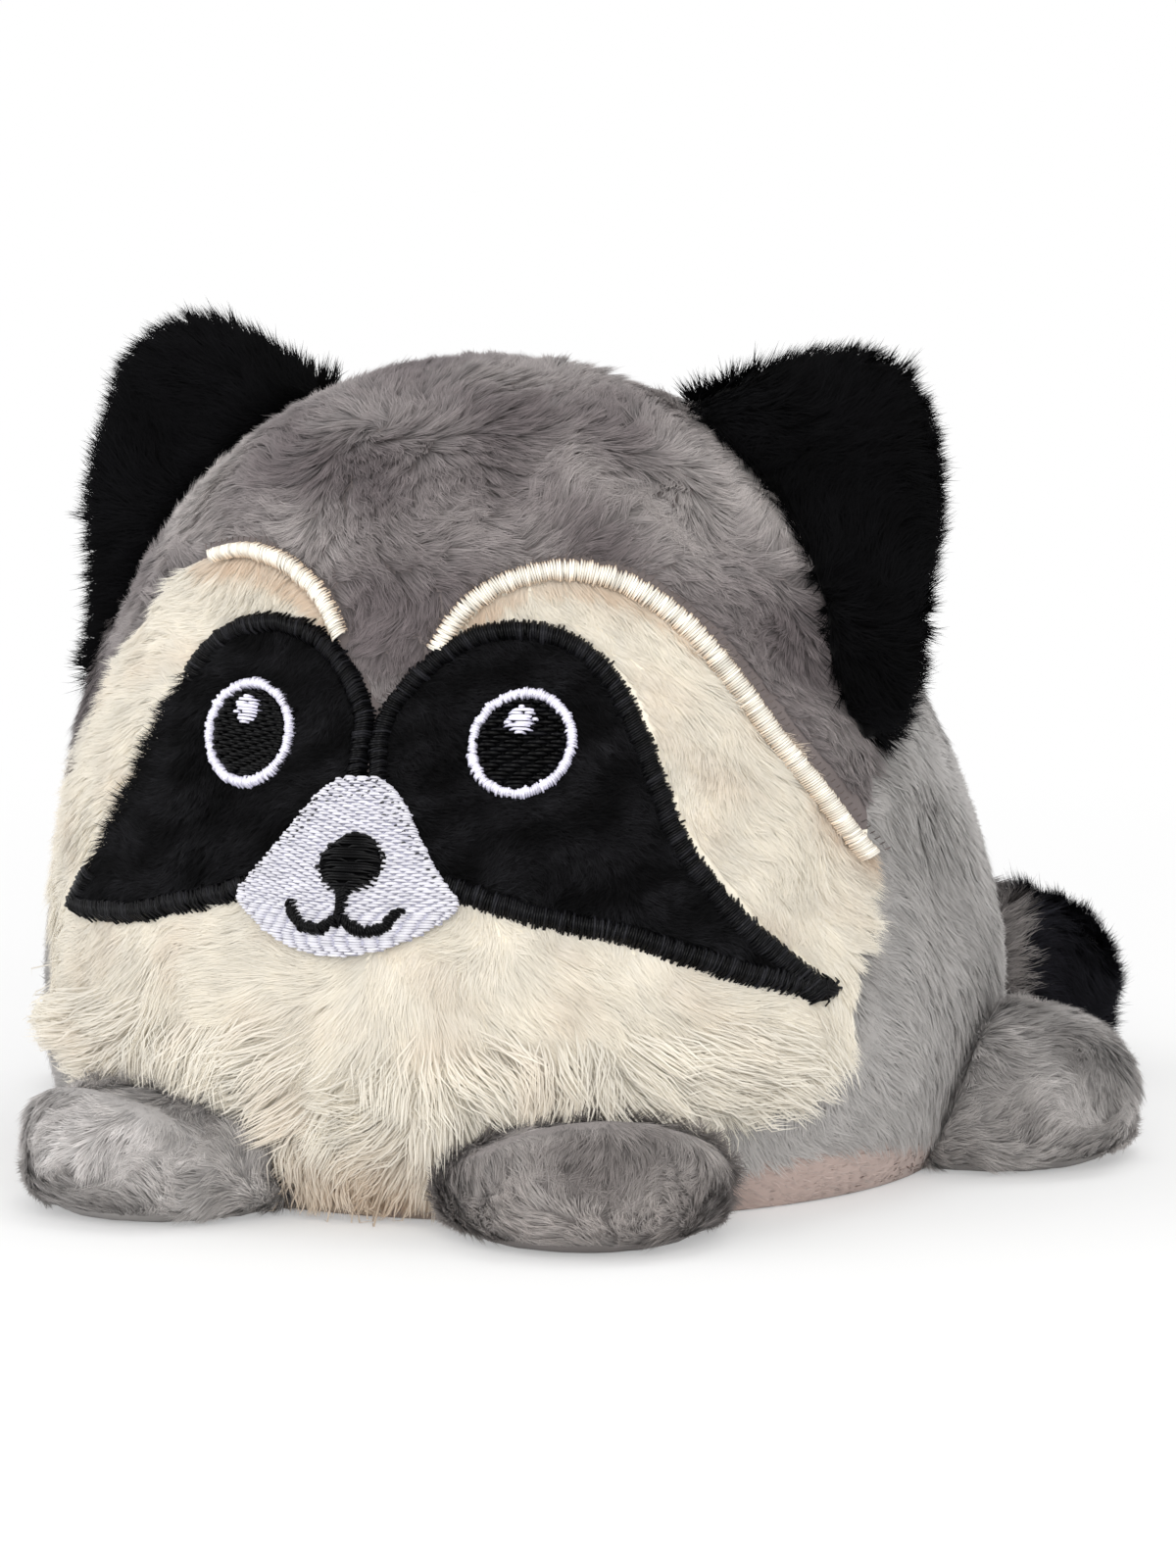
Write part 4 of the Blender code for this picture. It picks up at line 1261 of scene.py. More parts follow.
            # Tan beside the brows' satin and low on the chin is painted shade; the waves add random tone
            under_brow = (1 - smooth_step(self.brow_distance(drawn), 1.3 * MM, 2.8 * MM)) * 0.55
            low = smooth_step(points[:, 2], 15 * MM, 5 * MM) * 0.6
            mixed = (under_brow + low + 0.12 * Waves(34, 9).at(points))[:, None]
            colours = blend(cream, tan, mixed)
            edge = np.minimum(distance(drawn, self.muzzle, closed=True), self.patch_distance(drawn))
            lengths = 0.5 + 0.5 * smooth_step(edge, 0.5 * MM, 5 * MM)
            blades.append(grow(points, normals, self.cream_comb(points), pile, colours, rng, lengths))
        skin = self.regional_skin(Region.CREAM).part(linear("efe8d8"))
        self.workshop.piece("face_plush", [skin, *blades], [Finish.BACKING, Finish.PILE], ["face_panel"],
                            "cream_plush", 0.8)

    def build(self) -> None:
        """All four cloths."""
        self.build_body()
        self.build_base()
        self.build_forehead()
        self.build_cream()


@dataclass
class Face:
    """Velvet eye patches and all the embroidery, in layers on the ball's front."""

    ball: Ball
    pattern: Pattern
    workshop: Workshop
    patch_height: float = -0.9
    edge_height: float = -0.75
    muzzle_height: float = 0.15
    eye_height: float = -0.35
    brow_height: float = -0.45
    pitch: float = 0.30
    points_per_stitch: int = 25
    # Fills: shift from row to row as a share of a stitch, shortest end stitch, waver of a row
    brick_shift: float = 0.382
    shortest_stitch: float = 0.5
    row_waver: float = 0.03

    def sheet(self, loop: Array, height: Callable[[Array], Array], spacing: float, inset: float = 0.0) -> Skin:
        """A layer of cloth or underlay on the ball's front.

        Args:
            loop: Its outline as (x, z), in metres.
            height: Gives each point's height over the surface, in millimetres.
            spacing: Size of its cells, in millimetres.
            inset: How far its edge stays inside the outline, in millimetres.

        Returns:
            The layer's skin.
        """
        low, high = loop.min(axis=0) - spacing * MM, loop.max(axis=0) + spacing * MM
        xs = np.arange(low[0], high[0], spacing * MM)
        zs = np.arange(low[1], high[1], spacing * MM)
        grid = np.stack(np.meshgrid(xs, zs), axis=-1)
        points, normals = self.ball.seen(grid.reshape(-1, 2), height(grid.reshape(-1, 2)))
        wide = len(xs)
        starts = (np.arange(len(zs) - 1)[:, None] * wide + np.arange(wide - 1)[None, :]).ravel()
        cells = np.stack([starts, starts + 1, starts + wide + 1, starts + wide], axis=1)
        middles = grid.reshape(-1, 2)[cells].mean(axis=1)
        cells = cells[depth_inside(middles, loop) > inset * MM]
        triangles = np.concatenate([cells[:, [0, 1, 2]], cells[:, [0, 2, 3]]])
        return Skin(points, normals, triangles).where(np.ones(len(triangles), bool))

    def spaced(self, path: Array) -> Array:
        """Places of the stitches along a path, evenly spaced on the ball itself.

        Args:
            path: Middle line as (x, z), in metres.

        Returns:
            Points of the drawing.
        """
        fine = resampled(path, 0.1 * MM)
        places, _ = self.ball.seen(fine)
        run = np.concatenate([[0], np.cumsum(np.linalg.norm(np.diff(places, axis=0), axis=1))])
        steps = np.arange(0, run[-1], self.pitch * MM)
        return np.stack([np.interp(steps, run, fine[:, axis]) for axis in (0, 1)], axis=1)

    def satin(self, path: Array, width: float, height: float, thread: Thread, rng: np.random.Generator,
              slant: float = 0.0, ragged: float = 0.12, taper: float = 0.0) -> Part:
        """Satin stitches side by side across a path.

        Args:
            path: Middle line as (x, z), in metres.
            width: Width of the band, in millimetres.
            height: Height of the cloth under it, in millimetres.
            thread: The thread.
            rng: Source of chance.
            slant: Turn of the stitches from square to the path, in radians.
            ragged: Unevenness of their ends, in millimetres.
            taper: Share of the width that the band loses towards the path's end.

        Returns:
            The threads.
        """
        marks = self.spaced(path)
        along, across = directions(marks)
        lean = across * math.cos(slant) + along * math.sin(slant)
        lean = unit(lean + 0.05 * rng.normal(size=lean.shape))
        loss = taper * smooth_step(np.linspace(0, 1, len(marks)), 0.3, 1.0)
        ends = [width / 2 * (1 - loss) + ragged * (1 - 2 * loss) * rng.normal(size=len(marks)) for _ in range(2)]
        return lay_threads(self.ball, marks - lean * (ends[0] * MM)[:, None], marks + lean * (ends[1] * MM)[:, None],
                           height, thread, rng)

    def bed(self, path: Array, width: float, height: float, thread: Thread, material: int = 0) -> Part:
        """Padding under a band of satin stitches, so that no cloth shows between them.

        Args:
            path: Middle line as (x, z), in metres.
            width: Width of the band, in millimetres.
            height: Height of the cloth under it, in millimetres.
            thread: The thread that lies on it.
            material: Index of its material.

        Returns:
            The padding.
        """
        marks = resampled(path, 0.6 * MM)
        _, across = directions(marks)
        shares = np.linspace(-1, 1, 7)
        drawn = marks[:, None, :] + across[:, None, :] * (shares * width / 2 * MM)[None, :, None]
        lift = height + thread.arch * (1 - shares**4) - thread.dive * shares**8 - 0.06
        points, normals = self.ball.seen(drawn.reshape(-1, 2), np.tile(lift, len(marks)))
        wide = len(shares)
        starts = (np.arange(len(marks) - 1)[:, None] * wide + np.arange(wide - 1)[None, :]).ravel()
        triangles = np.concatenate([np.stack([starts, starts + 1, starts + wide + 1], axis=1),
                                    np.stack([starts, starts + wide + 1, starts + wide], axis=1)])
        # The padding is darker than its thread: painted shade between the stitches
        tints = np.tile(linear(thread.tint) * UNDER_SHADE, (len(points), 1))
        return Part(points, normals, triangles, tints, material)

    def filled(self, loop: Array, height: float, thread: Thread, rng: np.random.Generator, length: float,
               pitch: float, ragged: float = 0.15) -> Part:
        """Rows of level stitches that fill an outline, offset like bricks.

        Args:
            loop: The outline as (x, z), in metres.
            height: Height of the cloth under them, in millimetres.
            thread: The thread.
            rng: Source of chance.
            length: Length of a stitch, in millimetres; a row shorter than it is one stitch.
            pitch: Distance between two rows, in millimetres.
            ragged: Unevenness of the rows' ends, in millimetres.

        Returns:
            The threads.
        """
        starts, ends = [], []
        for row, z in enumerate(np.arange(loop[:, 1].min() + 0.1 * MM, loop[:, 1].max(), pitch * MM)):
            crossings = []
            for (x0, z0), (x1, z1) in zip(loop, np.roll(loop, -1, axis=0)):
                if (z0 <= z) != (z1 <= z):
                    crossings.append(x0 + (z - z0) * (x1 - x0) / (z1 - z0))
            for left, right in zip(sorted(crossings)[::2], sorted(crossings)[1::2]):
                left, right = left - abs(rng.normal()) * ragged * MM, right + abs(rng.normal()) * ragged * MM
                shift = (row * self.brick_shift % 1) * length * MM
                marks = np.arange(left - length * MM + shift, right, length * MM)
                least = self.shortest_stitch * MM
                marks = [left, *marks[(marks > left + least) & (marks < right - least)], right]
                for a, b in zip(marks, marks[1:]):
                    starts.append((a, z + self.row_waver * MM * rng.normal()))
                    ends.append((b, z + self.row_waver * MM * rng.normal()))
        return lay_threads(self.ball, np.array(starts), np.array(ends), height, thread, rng)

    def oval(self, x: float, z: float, half_width: float, half_height: float) -> Array:
        """An oval outline.

        Args:
            x: Middle, in millimetres.
            z: Middle's height.
            half_width: Half its width.
            half_height: Half its height.

        Returns:
            Its corners, in metres.
        """
        turns = np.linspace(0, 2 * math.pi, 64, endpoint=False)
        return np.stack([x + half_width * np.cos(turns), z + half_height * np.sin(turns)], axis=1) * MM

    def build_patch(self, label: str, side: int) -> None:
        """A velvet patch and its stitched border.

        Args:
            label: "left" or "right".
            side: 1 or -1.
        """
        rng = np.random.default_rng(40 + side)
        loop = self.pattern.patch(side)
        eye_x, eye_z, eye_radius = self.pattern.eye

        def height(drawn: Array) -> Array:
            inner = depth_inside(drawn, loop)
            eye = np.hypot(drawn[:, 0] - eye_x * side * MM, drawn[:, 1] - eye_z * MM)
            press = np.exp(-(np.maximum(eye - eye_radius * MM, 0) / (1.6 * MM)) ** 2)
            return self.patch_height + 0.7 * smooth_step(inner, 2.2 * MM, 6 * MM) - 0.5 * press

        skin = self.sheet(loop, height, 0.7, 0.75)
        pile = Pile(density=24, length=1.5, width=0.18, rise=0.42, lean=0.6, clump=0.9, gather=0.4, swirl=0.9,
                    swirl_size=12, stray=0.5, clump_stray=0.35, root_shade=0.6, tip_shine=1.4,
                    clump_tone=0.2, blade_tone=0.3, runs=1, seed=41)
        points, normals = skin.sample(pile.density, rng)
        drawn = points[:, [0, 2]]
        edge = depth_inside(drawn, loop)
        eye = np.hypot(drawn[:, 0] - eye_x * side * MM, drawn[:, 1] - eye_z * MM)
        unbound = self.unbound(drawn, side)
        rim = np.where(unbound, 0.0, self.pattern.edge_width - 0.5)
        keep = (edge > rim * MM) & (eye > (eye_radius - 0.2) * MM)
        keep &= depth_inside(drawn, self.pattern.muzzle()) < 0.2 * MM
        points, normals, unbound = points[keep], normals[keep], unbound[keep]
        comb = np.where(unbound[:, None], [1.0 * side, 0.0, -0.2], [0.8 * side, 0.0, -0.6])
        tone = Waves(43, 6).at(points)[:, None] * 0.5 + 0.5
        colours = blend(linear("070708"), linear("161618"), tone)
        lengths = np.where(unbound & (edge[keep] < 3 * MM), 1.6, 1.0)
        blades = grow(points, normals, comb, pile, colours, rng, lengths)
        self.workshop.piece(f"velvet_patch_{label}", [skin.part(linear("060607")), blades],
                            [Finish.VELVET, Finish.VELVET], [f"eye_patch_{label}"], "black_plush", 0.6)

        closed = np.concatenate([loop, loop[:1]])
        inward = -directions(closed)[1]
        if not inside((closed + inward * 0.3 * MM)[5:6], loop)[0]:
            inward = -inward
        width = self.pattern.edge_width
        middle = closed + inward * (width / 2 * MM)
        # The stitches' wide spread of tone stands in for their broken glints: painted highlights
        thread = Thread(radius=0.18, arch=0.8, dive=0.6, tint="0b0b0d", tone=0.85)
        stitches = self.satin(middle, width - 0.1, self.edge_height, thread, rng, slant=0.18, ragged=0.14)
        places = stitches.points.reshape(-1, self.points_per_stitch, 3).mean(axis=1)[:, [0, 2]]
        shown = (depth_inside(places, self.pattern.muzzle()) < 0.4 * MM) & ~self.unbound(places, side)
        bed = self.bed(middle, width - 0.5, self.edge_height - 0.1, thread, 1)
        places = bed.points[:, [0, 2]]
        padded = (depth_inside(places, self.pattern.muzzle()) < 0.2 * MM) & ~self.unbound(places, side)
        self.workshop.piece(f"patch_border_{label}",
                            [self.kept(stitches, np.repeat(shown, self.points_per_stitch)), self.kept(bed, padded)],
                            [Finish.BLACK_THREAD, Finish.VELVET], [f"patch_edge_{label}"], "black_thread")

    def unbound(self, drawn: Array, side: int) -> Array:
        """Where an eye patch ends in velvet pile that hangs over its border.

        Args:
            drawn: Points (x, z) of the drawing, in metres.
            side: 1 for the raccoon's left, -1 for its right.

        Returns:
            True for each such point: only the outer edge of the right patch has any.
        """
        bare_x, bare_z = self.pattern.patch_unbound_right
        return (side < 0) & (-drawn[:, 0] > bare_x * MM) & (drawn[:, 1] > bare_z * MM)

    @staticmethod
    def kept(part: Part, keep: Array) -> Part:
        """A part without the triangles of the points that are dropped.

        Args:
            part: The part.
            keep: True for each point to keep.

        Returns:
            The smaller part.
        """
        fresh = np.cumsum(keep) - 1
        triangles = part.triangles[keep[part.triangles].all(axis=1)]
        return Part(part.points[keep], part.normals[keep], fresh[triangles], part.tints[keep], part.material)

    def build_brow(self, label: str, side: int) -> None:
        """The cream satin edge of a brow, with the row of needle holes beside it.

        Args:
            label: "left" or "right".
            side: 1 or -1.
        """
        rng = np.random.default_rng(50 + side)
        path = self.pattern.stitched_brow(side)
        width = self.pattern.brow_width
        # The tan ends of the stitches are painted shade on the band's flanks
        thread = Thread(radius=0.15, arch=0.5, dive=0.3, tint="ebe7dc", end_shade_tint="bfa88f", tone=0.16)
        stitches = self.satin(path, width, self.brow_height, thread, rng, slant=0.12, ragged=0.09,
                              taper=self.pattern.brow_taper)
        bed = self.bed(path, width * (1 - self.pattern.brow_taper) - 0.2, self.brow_height, thread)
        marks = resampled(path, 0.8 * MM)
        outward = -directions(marks)[1] * side
        half = width / 2 * (1 - self.pattern.brow_taper * smooth_step(np.linspace(0, 1, len(marks)), 0.3, 1.0))
        holes = marks + outward * (half + 0.2)[:, None] * MM
        # Short dark dashes stand for the needle holes: painted shade of the holes
        tick = Thread(radius=0.09, arch=0.1, dive=0.0, tint="4a3f3b", tone=0.2)
        ticks = lay_threads(self.ball, holes - outward * 0.22 * MM, holes + outward * 0.2 * MM, 0.0, tick, rng)
        self.workshop.piece(f"brow_satin_{label}", [stitches, bed, ticks], [Finish.THREAD], [f"brow_edge_{label}"],
                            "cream_thread")

    def build_eye(self, label: str, side: int) -> None:
        """Ring, pupil and highlight of an eye.

        Args:
            label: "left" or "right".
            side: 1 or -1.
        """
        rng = np.random.default_rng(60 + side)
        x, z, radius = self.pattern.eye
        x, width = x * side, self.pattern.ring_width
        ring = self.oval(x, z, radius - width / 2, radius - width / 2)
        # The darker ends of the stitches are painted shade on the ring's flanks
        white = Thread(radius=0.18, arch=0.55, dive=0.5, tint="e6e4f0", end_shade_tint="c3c1dc", tone=0.08)
        ring = np.concatenate([ring, ring[:1]])
        stitches = self.satin(ring, width, self.eye_height, white, rng, ragged=0.12)
        bed = self.bed(ring, width - 0.3, self.eye_height, white)
        self.workshop.piece(f"eye_ring_stitch_{label}", [stitches, bed], [Finish.THREAD], [f"eye_ring_{label}"],
                            "white_thread")
        # The right pupil's rows lie so close that it looks plain
        plain = side < 0
        black = Thread(radius=0.24, arch=0.35, dive=0.45, tint="030304", tone=0.2 if plain else 0.7)
        pupil_loop = self.oval(x, z, radius - width - 0.1, radius - width - 0.1)
        pupil = self.filled(pupil_loop, self.eye_height + 0.05, black, rng, length=2.6,
                            pitch=0.3 if plain else 0.44)
        under = self.sheet(pupil_loop, lambda drawn: np.full(len(drawn), self.eye_height), 0.5)
        self.workshop.piece(f"pupil_stitch_{label}", [pupil, under.part(linear("08080a"), 1)],
                            [Finish.BLACK_THREAD, Finish.VELVET], [f"pupil_{label}"], "black_thread")
        shift_x, shift_z, size = self.pattern.highlight
        spot_loop = self.oval(x + shift_x, z + shift_z, size * 0.82, size * 0.75)
        spot = self.filled(spot_loop, self.eye_height + 0.5, white, rng, length=6, pitch=0.36, ragged=0.2)
        self.workshop.piece(f"highlight_stitch_{label}", [spot], [Finish.THREAD], [f"highlight_{label}"],
                            "white_thread")

    def specks(self, loop: Array, rng: np.random.Generator) -> Part:
        """Black velvet that peeps out between the stitches along the muzzle's upper edges.

        Args:
            loop: Outline of the muzzle as (x, z), in metres.
            rng: Source of chance.

        Returns:
            Short dark dashes in brick order.
        """
        black = Thread(radius=0.10, arch=0.05, dive=0.1, tint="101014", tone=0.3)
        rows = np.arange(loop[:, 1].min(), loop[:, 1].max(), 0.58 * MM)
        spots = np.array([(x + (row % 3) * 0.45 * MM, z) for row, z in enumerate(rows)
                          for x in np.arange(loop[:, 0].min(), loop[:, 0].max(), 1.35 * MM)])
        spots = spots + rng.uniform(-0.12, 0.12, spots.shape) * MM
        depth = depth_inside(spots, loop) / MM
        low, high = self.pattern.specks_z
        reach = 0.6 + 1.9 * smooth_step(spots[:, 1] / MM, low, high)
        spots = spots[(depth > 0.3) & (depth < reach) & (spots[:, 1] > low * MM)]
        dash = np.array([0.2, 0.04]) * MM
        return lay_threads(self.ball, spots - dash, spots + dash, self.muzzle_height + 0.24, black, rng)

    def build_muzzle(self) -> None:
        """Filled muzzle, nose and mouth."""
        rng = np.random.default_rng(71)
        loop = self.pattern.muzzle()
        # The darker ends of the stitches are painted shade where they dive into the cloth
        white = Thread(radius=0.17, arch=0.22, dive=0.22, tint="d2d1d8", end_shade_tint="bdbcc9", tone=0.07)
        fill = self.filled(loop, self.muzzle_height, white, rng, length=1.7, pitch=0.29)
        specks = self.specks(loop, rng)
        # The cloth under the fill is darker than the thread: painted shade between the stitches
        under = self.sheet(loop, lambda drawn: self.muzzle_height - 0.05 - 0.9 * smooth_step(
            -depth_inside(drawn, loop), -1.0 * MM, 0.6 * MM), 0.6)
        self.workshop.piece("muzzle_stitch", [fill, specks, under.part(linear("b9b9cb"), 1)],
                            [Finish.THREAD, Finish.BACKING], ["muzzle"], "white_thread")
        nose_x, nose_z, half_width, half_height = self.pattern.nose
        black = Thread(radius=0.20, arch=0.45, dive=0.4, tint="020203", tone=0.3)
        nose_loop = self.oval(nose_x, nose_z, half_width, half_height)
        nose = self.filled(nose_loop, self.muzzle_height + 0.35, black, rng, length=20, pitch=0.28, ragged=0.35)
        under = self.sheet(nose_loop, lambda drawn: np.full(len(drawn), self.muzzle_height + 0.5), 0.3, 0.35)
        self.workshop.piece("nose_stitch", [nose, under.part(linear("040405"), 1)],
                            [Finish.BLACK_THREAD, Finish.VELVET], ["nose"], "black_thread")
        half = smooth_path(self.pattern.mouth_half) + (nose_x * MM, 0)
        other = (half - (nose_x * MM, 0)) * (-1, 1) + (nose_x * MM, 0)
        stem = np.array([[nose_x, nose_z - half_height + 0.3], [nose_x, 36.2]]) * MM
        parts = [self.satin(path, self.pattern.mouth_width, self.muzzle_height + 0.45, black, rng, slant=0.5)
                 for path in (half, other, stem)]
        self.workshop.piece("mouth_stitch", parts, [Finish.BLACK_THREAD], ["mouth"], "black_thread")

    def build(self) -> None:
        """The whole face."""
        for label, side in SIDES.items():
            self.build_patch(label, side)
            self.build_brow(label, side)
            self.build_eye(label, side)
        self.build_muzzle()


@dataclass(frozen=True)
class Cuff:
    """Pile of another colour on a limb, up to a plane: its way, its reach in millimetres, its colours."""

    way: tuple[float, float, float]
    reach: float
    dark: str
    light: str


@dataclass(frozen=True)
class Limb:
    """A stuffed limb: which node it stands for, its pile and its colours."""

    name: str
    node: str
    slot: str
    pile: Pile
    dark: str
    light: str
    comb: tuple[float, float, float]
    cloud_size: float = 14.0
    inset: float = 0.5
    spread: float = 1.5
    sink: float = 0.0
    tuck: float = 0.0
    # Painted light: share by which the pile is lighter near the floor and darker higher up
    fade: float = 0.0
    cuff: Cuff | None = None
    voxel: float = 1.5
    fill: float = 0.7
    floor_gap: float = 0.2


@dataclass
class Limbs:
    """Ears, paws, hind feet and tail."""

    workshop: Workshop

    def soft_skin(self, limb: Limb) -> Skin:
        """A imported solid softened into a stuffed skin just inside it.

        Args:
            limb: The limb.

        Returns:
            Its skin.
        """
        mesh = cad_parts[limb.node].data.copy()
        item = bpy.data.objects.new("soft", mesh)
        bpy.context.scene.collection.objects.link(item)
        bpy.context.view_layer.objects.active = item
        item.select_set(True)
        mesh.remesh_voxel_size = limb.voxel * MM
        bpy.ops.object.voxel_remesh()
        smooth = item.modifiers.new("smooth", "SMOOTH")
        smooth.factor, smooth.iterations = 0.6, 3
        bpy.ops.object.modifier_apply(modifier="smooth")
        mesh = item.data
        mesh.calc_loop_triangles()
        points = np.array([vertex.co for vertex in mesh.vertices])
        normals = np.array([vertex.normal for vertex in mesh.vertices])
        triangles = np.array([triangle.vertices for triangle in mesh.loop_triangles])
        bpy.data.objects.remove(item)
        # Flat on the floor below, and with no inset where the limb is sewn to the ball
        radius = Ball().radius(np.arctan2(points[:, 0], -points[:, 1]), points[:, 2] / MM)
        off_ball = np.hypot(points[:, 0], points[:, 1]) / MM - radius
        inset = limb.inset * smooth_step(points[:, 2] / MM, 2.0, 7.0) * smooth_step(off_ball, 0.5, 4.0)
        spread = limb.spread * smooth_step(points[:, 2] / MM, 7.0, 2.0)
        points = points - normals * inset[:, None] * MM + normals * (1, 1, 0) * spread[:, None] * MM
        points[:, 2] *= 1 - limb.sink * smooth_step(off_ball, 11.0, 1.0)
        points[:, 0] -= np.sign(points[:, 0]) * limb.tuck * smooth_step(points[:, 2] / MM, 82.0, 66.0) * MM
        points[:, 2] = np.maximum(points[:, 2], limb.floor_gap * MM)
        return Skin(points, normals, triangles)

    def build(self, limb: Limb) -> None:
        """One limb.

        Args:
            limb: The limb.
        """
        rng = np.random.default_rng(limb.pile.seed)
        skin = self.soft_skin(limb)
        points, normals = skin.sample(limb.pile.density, rng)
        keep = (normals[:, 2] > -0.8) | (points[:, 2] > 3 * MM)
        points, normals = points[keep], normals[keep]
        cloud = Waves(limb.pile.seed + 5, limb.cloud_size).at(points)[:, None] * 0.5 + 0.5
        colours = blend(linear(limb.dark), linear(limb.light), cloud)
        # The cloth under the pile is darker than it: painted shade between the blades
        tints = np.tile(linear(limb.dark) * UNDER_SHADE, (len(skin.points), 1))
        if limb.cuff:
            way, reach, dark = np.array(limb.cuff.way), limb.cuff.reach, linear(limb.cuff.dark)
            # The cuff's edge is ragged, as pile is
            cuff = points @ way < (reach + 0.6 * rng.normal(size=len(points))) * MM
            colours = np.where(cuff[:, None], blend(dark, linear(limb.cuff.light), cloud), colours)
            tints[skin.points @ way < reach * MM] = dark * UNDER_SHADE
        # Painted light: lighter near the floor, darker higher up
        colours = colours * (1 + limb.fade * (0.5 - smooth_step(points[:, 2] / MM, 3, 15)))[:, None]
        comb = np.tile(limb.comb, (len(points), 1))
        blades = grow(points, normals, comb, limb.pile, colours, rng)
        pile = Finish.BLACK_PILE if limb.slot == "black_plush" else Finish.PILE
        self.workshop.piece(limb.name, [skin.part(lambda _: tints), blades], [Finish.BACKING, pile],
                            [limb.node], limb.slot, limb.fill)

    def build_all(self) -> None:
        """Every limb."""
        ear = Pile(density=15, length=3.4, width=0.20, rise=0.5, lean=0.5, clump=1.3, gather=0.5, swirl=0.9,
                   swirl_size=18, stray=0.45, clump_stray=0.45, root_shade=0.6, tip_shine=1.25,
                   clump_tone=0.15, blade_tone=0.15, tilt=0.15, seed=81)
        paw = Pile(density=21, length=2.7, width=0.19, rise=0.24, lean=0.75, clump=1.2, gather=0.45, swirl=1.0,
                   swirl_size=13, stray=0.3, clump_stray=0.45, root_shade=0.62, tip_shine=1.2,
                   clump_tone=0.10, blade_tone=0.12, tilt=0.18, seed=91)
        tail = replace(paw, density=9, length=3.8, width=0.26, rise=0.3, seed=95)
        black_tail = replace(ear, density=18, seed=96)
        limbs = [
            Limb("ear_plush_left", "ear_left", "black_plush", ear, "050506", "0b0b0d", (0.8, 0.0, 0.3), inset=0.9),
            Limb("ear_plush_right", "ear_right", "black_plush", replace(ear, seed=82), "050506", "0b0b0d",
                 (-0.8, 0.0, 0.3), inset=2.0, tuck=1.8),
            # The left front paw's pile is darker than the other paws' of the same cloth: painted shade under the chin
            Limb("front_paw_plush_left", "front_paw_left", "grey_plush", paw, "8c8684", "c0bab7", (0.6, -0.7, -0.3),
                 sink=0.25, fade=0.18),
            Limb("front_paw_plush_right", "front_paw_right", "grey_plush", replace(paw, seed=92), "aba7a5", "d6d2d0",
                 (-0.3, -0.9, -0.3), sink=0.25),
            Limb("hind_foot_plush_left", "hind_foot_left", "grey_plush", replace(paw, seed=93), "a29e9c", "d0ccca",
                 (1.0, -0.3, -0.35), fade=0.35),
            Limb("hind_foot_plush_right", "hind_foot_right", "grey_plush", replace(paw, seed=94), "a29e9c", "d0ccca",
                 (-1.0, 0.0, -0.35), fade=0.35),
            Limb("tail_plush_grey", "tail_base", "dark_grey_plush", tail, "6d6968", "918c8a", (0.8, 0.4, -0.2)),
            Limb("tail_plush_black", "tail_end", "black_plush", black_tail, "17171b", "2a2a30", (1.0, 0.0, 0.1),
                 inset=2.2, cuff=Cuff((0.946, 0.326, 0.0), 66.3, "6d6968", "918c8a")),
        ]
        for limb in limbs:
            self.build(limb)


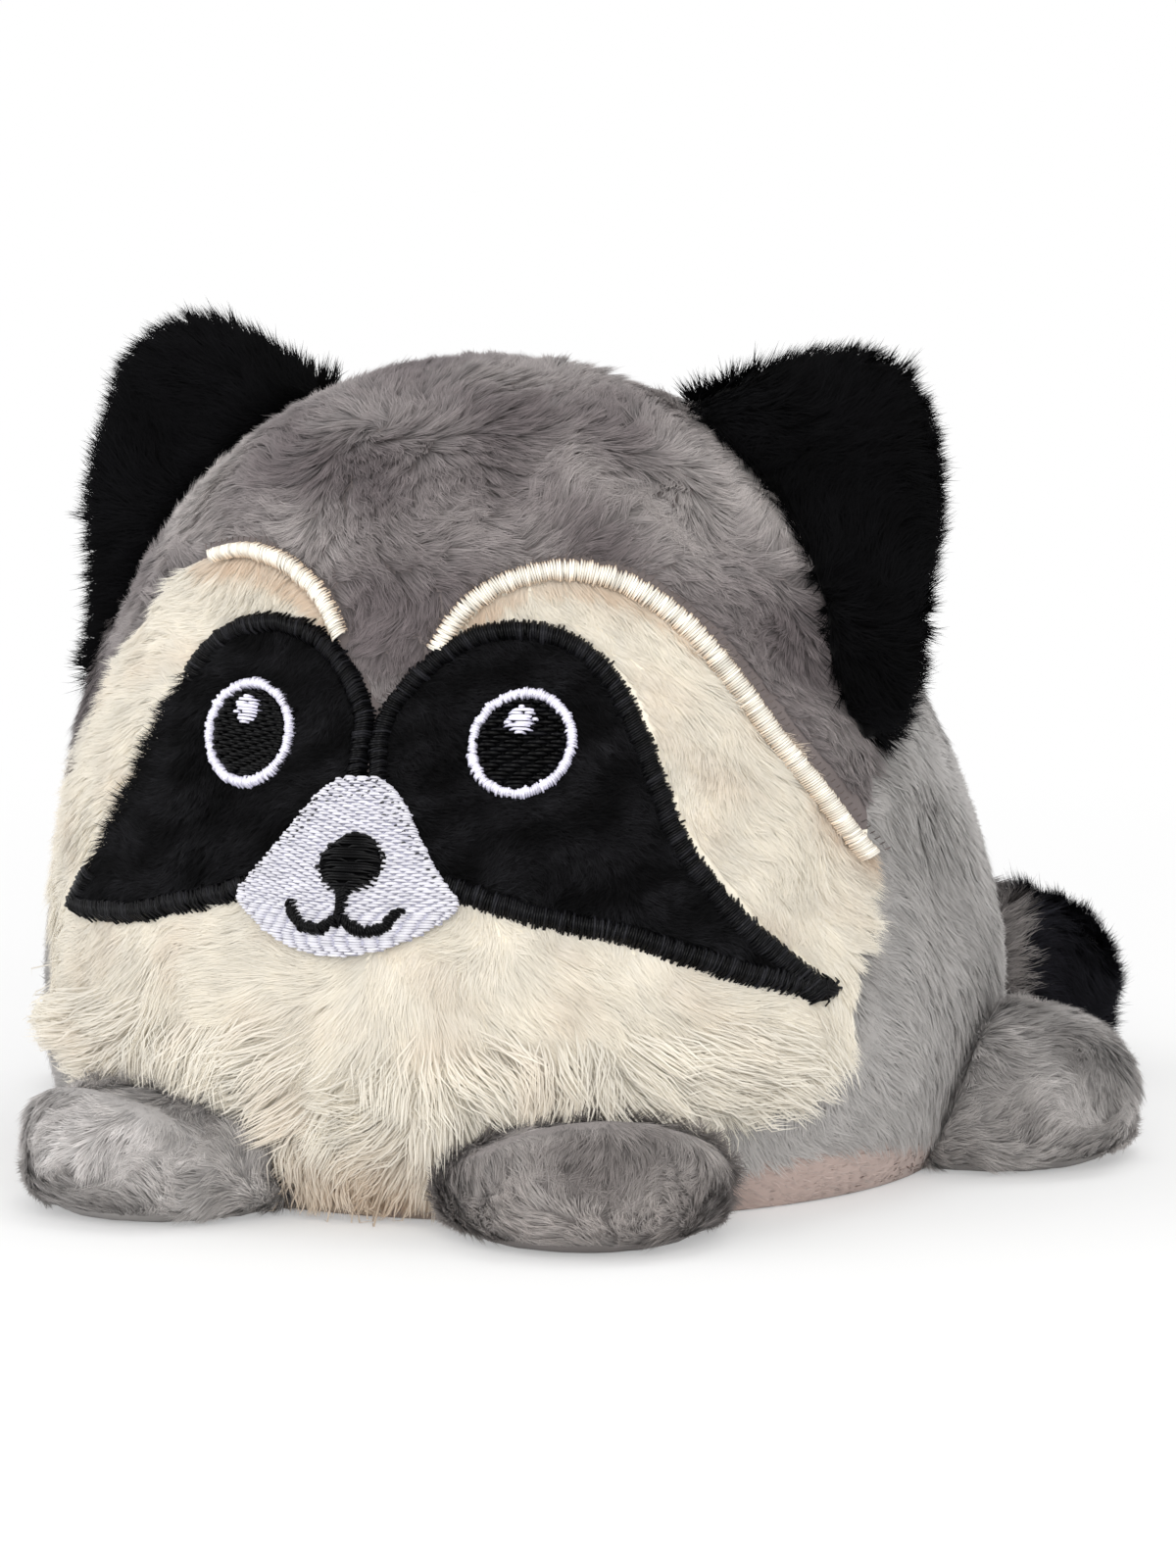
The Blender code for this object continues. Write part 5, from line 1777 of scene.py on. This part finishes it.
@dataclass(frozen=True)
class Studio:
    """Camera, lights and floor."""

    turn: float = 19.0
    lift: float = 7.0
    distance: float = 650.0
    target: tuple[float, float, float] = (9.08, 3.13, 45.0)
    view_width: float = 192.0
    sky_strength: float = 0.85
    # Where the lamps point, a little below the middle of the ball, in millimetres
    aim: tuple[float, float, float] = (0.0, 0.0, 45.0)

    def camera(self) -> None:
        """The camera at the photograph's angle."""
        a, e = math.radians(self.turn), math.radians(self.lift)
        ahead = Vector((-math.sin(a) * math.cos(e), math.cos(a) * math.cos(e), -math.sin(e)))
        data = bpy.data.cameras.new("camera")
        data.lens = data.sensor_width * self.distance / self.view_width
        data.clip_start, data.clip_end = 0.05, 20
        item = bpy.data.objects.new("camera", data)
        item.location = (Vector(self.target) - ahead * self.distance) * MM
        item.rotation_mode = "QUATERNION"
        item.rotation_quaternion = ahead.to_track_quat("-Z", "Y")
        bpy.context.scene.collection.objects.link(item)
        bpy.context.scene.camera = item

    def light(self, name: str, place: tuple[float, float, float], size: float, power: float,
              colour: tuple[float, float, float]) -> None:
        """A soft box that points at the toy.

        Args:
            name: Its name.
            place: Where it hangs, in metres.
            size: Its side, in metres.
            power: Its power, in watts.
            colour: Its colour.
        """
        data = bpy.data.lights.new(name, "AREA")
        data.size, data.energy, data.color = size, power, colour
        item = bpy.data.objects.new(name, data)
        item.location = place
        item.rotation_mode = "QUATERNION"
        item.rotation_quaternion = (Vector(self.aim) * MM - Vector(place)).to_track_quat("-Z", "Y")
        bpy.context.scene.collection.objects.link(item)

    @staticmethod
    def seen(tree: bpy.types.NodeTree) -> bpy.types.NodeSocket:
        """Whether a ray shows the background: to the camera, in a gloss or through glass.

        Args:
            tree: The node tree that asks.

        Returns:
            Output that is 1 for such a ray, else 0.
        """
        path = add_node(tree, "ShaderNodeLightPath")
        past = add_node(tree, "ShaderNodeMath", {0: path.outputs["Is Glossy Ray"],
                                                 1: path.outputs["Is Transmission Ray"]}, operation="MAXIMUM")
        either = add_node(tree, "ShaderNodeMath", {0: path.outputs["Is Camera Ray"], 1: past.outputs["Value"]},
                          operation="MAXIMUM")
        return either.outputs["Value"]

    def floor(self) -> None:
        """A white floor that fills the view and takes the toy's shadow."""
        bpy.ops.mesh.primitive_plane_add(size=12, location=(0, 0, 0))
        item = bpy.context.object
        item.name = "studio_floor"
        material = bpy.data.materials.new("white studio paper")
        material.use_nodes = True
        tree = material.node_tree
        tree.nodes.clear()
        place = add_node(tree, "ShaderNodeTexCoord")
        reach = add_node(tree, "ShaderNodeVectorMath", {0: place.outputs["Object"]}, operation="LENGTH")
        # Away from the toy the paper is lit to pure white for the camera
        far = add_node(tree, "ShaderNodeMapRange", {"Value": reach.outputs["Value"]}, interpolation_type="SMOOTHSTEP",
                       From_Min=0.10, From_Max=0.40, To_Min=0.35, To_Max=1.0)
        share = add_node(tree, "ShaderNodeMath", {0: self.seen(tree), 1: far.outputs["Result"]}, operation="MULTIPLY")
        paper = add_node(tree, "ShaderNodeBsdfDiffuse", Color=(0.8, 0.8, 0.8, 1))
        glow = add_node(tree, "ShaderNodeEmission", Color=(1, 1, 1, 1), Strength=1.0)
        mixed = add_node(tree, "ShaderNodeMixShader",
                         {"Fac": share.outputs["Value"], 1: paper.outputs["BSDF"], 2: glow.outputs["Emission"]})
        add_node(tree, "ShaderNodeOutputMaterial", {"Surface": mixed.outputs["Shader"]})
        item.data.materials.append(material)

    def sky(self) -> None:
        """Even white light from all sides."""
        world = bpy.data.worlds.new("studio")
        world.use_nodes = True
        tree = world.node_tree
        strength = add_node(tree, "ShaderNodeMapRange", {"Value": self.seen(tree)}, To_Min=self.sky_strength,
                            To_Max=1.0)
        background = tree.nodes["Background"]
        background.inputs["Color"].default_value = (1, 1, 1, 1)
        tree.links.new(strength.outputs["Result"], background.inputs["Strength"])
        bpy.context.scene.world = world

    def build(self) -> None:
        """Sets up the studio."""
        self.camera()
        self.floor()
        self.sky()
        self.light("key", (0.4, -0.9, 0.45), 0.7, 6.5, (1.0, 0.99, 0.97))
        self.light("fill", (-0.8, -0.5, 0.35), 0.6, 3.2, (0.97, 0.98, 1.0))
        self.light("top", (0.1, 0.2, 0.95), 0.5, 1.8, (1.0, 1.0, 1.0))
        bpy.context.scene.view_settings.view_transform = "Standard"


def main() -> None:
    """Builds the studio and dresses the toy."""
    Studio().build()
    workshop = Workshop()
    ball, pattern = Ball(), Pattern()
    StuffedBall(ball, pattern, workshop).build()
    Face(ball, pattern, workshop).build()
    Limbs(workshop).build_all()
    LOG.info("all: %d triangles", workshop.total)


if __name__ == "__main__":
    main()
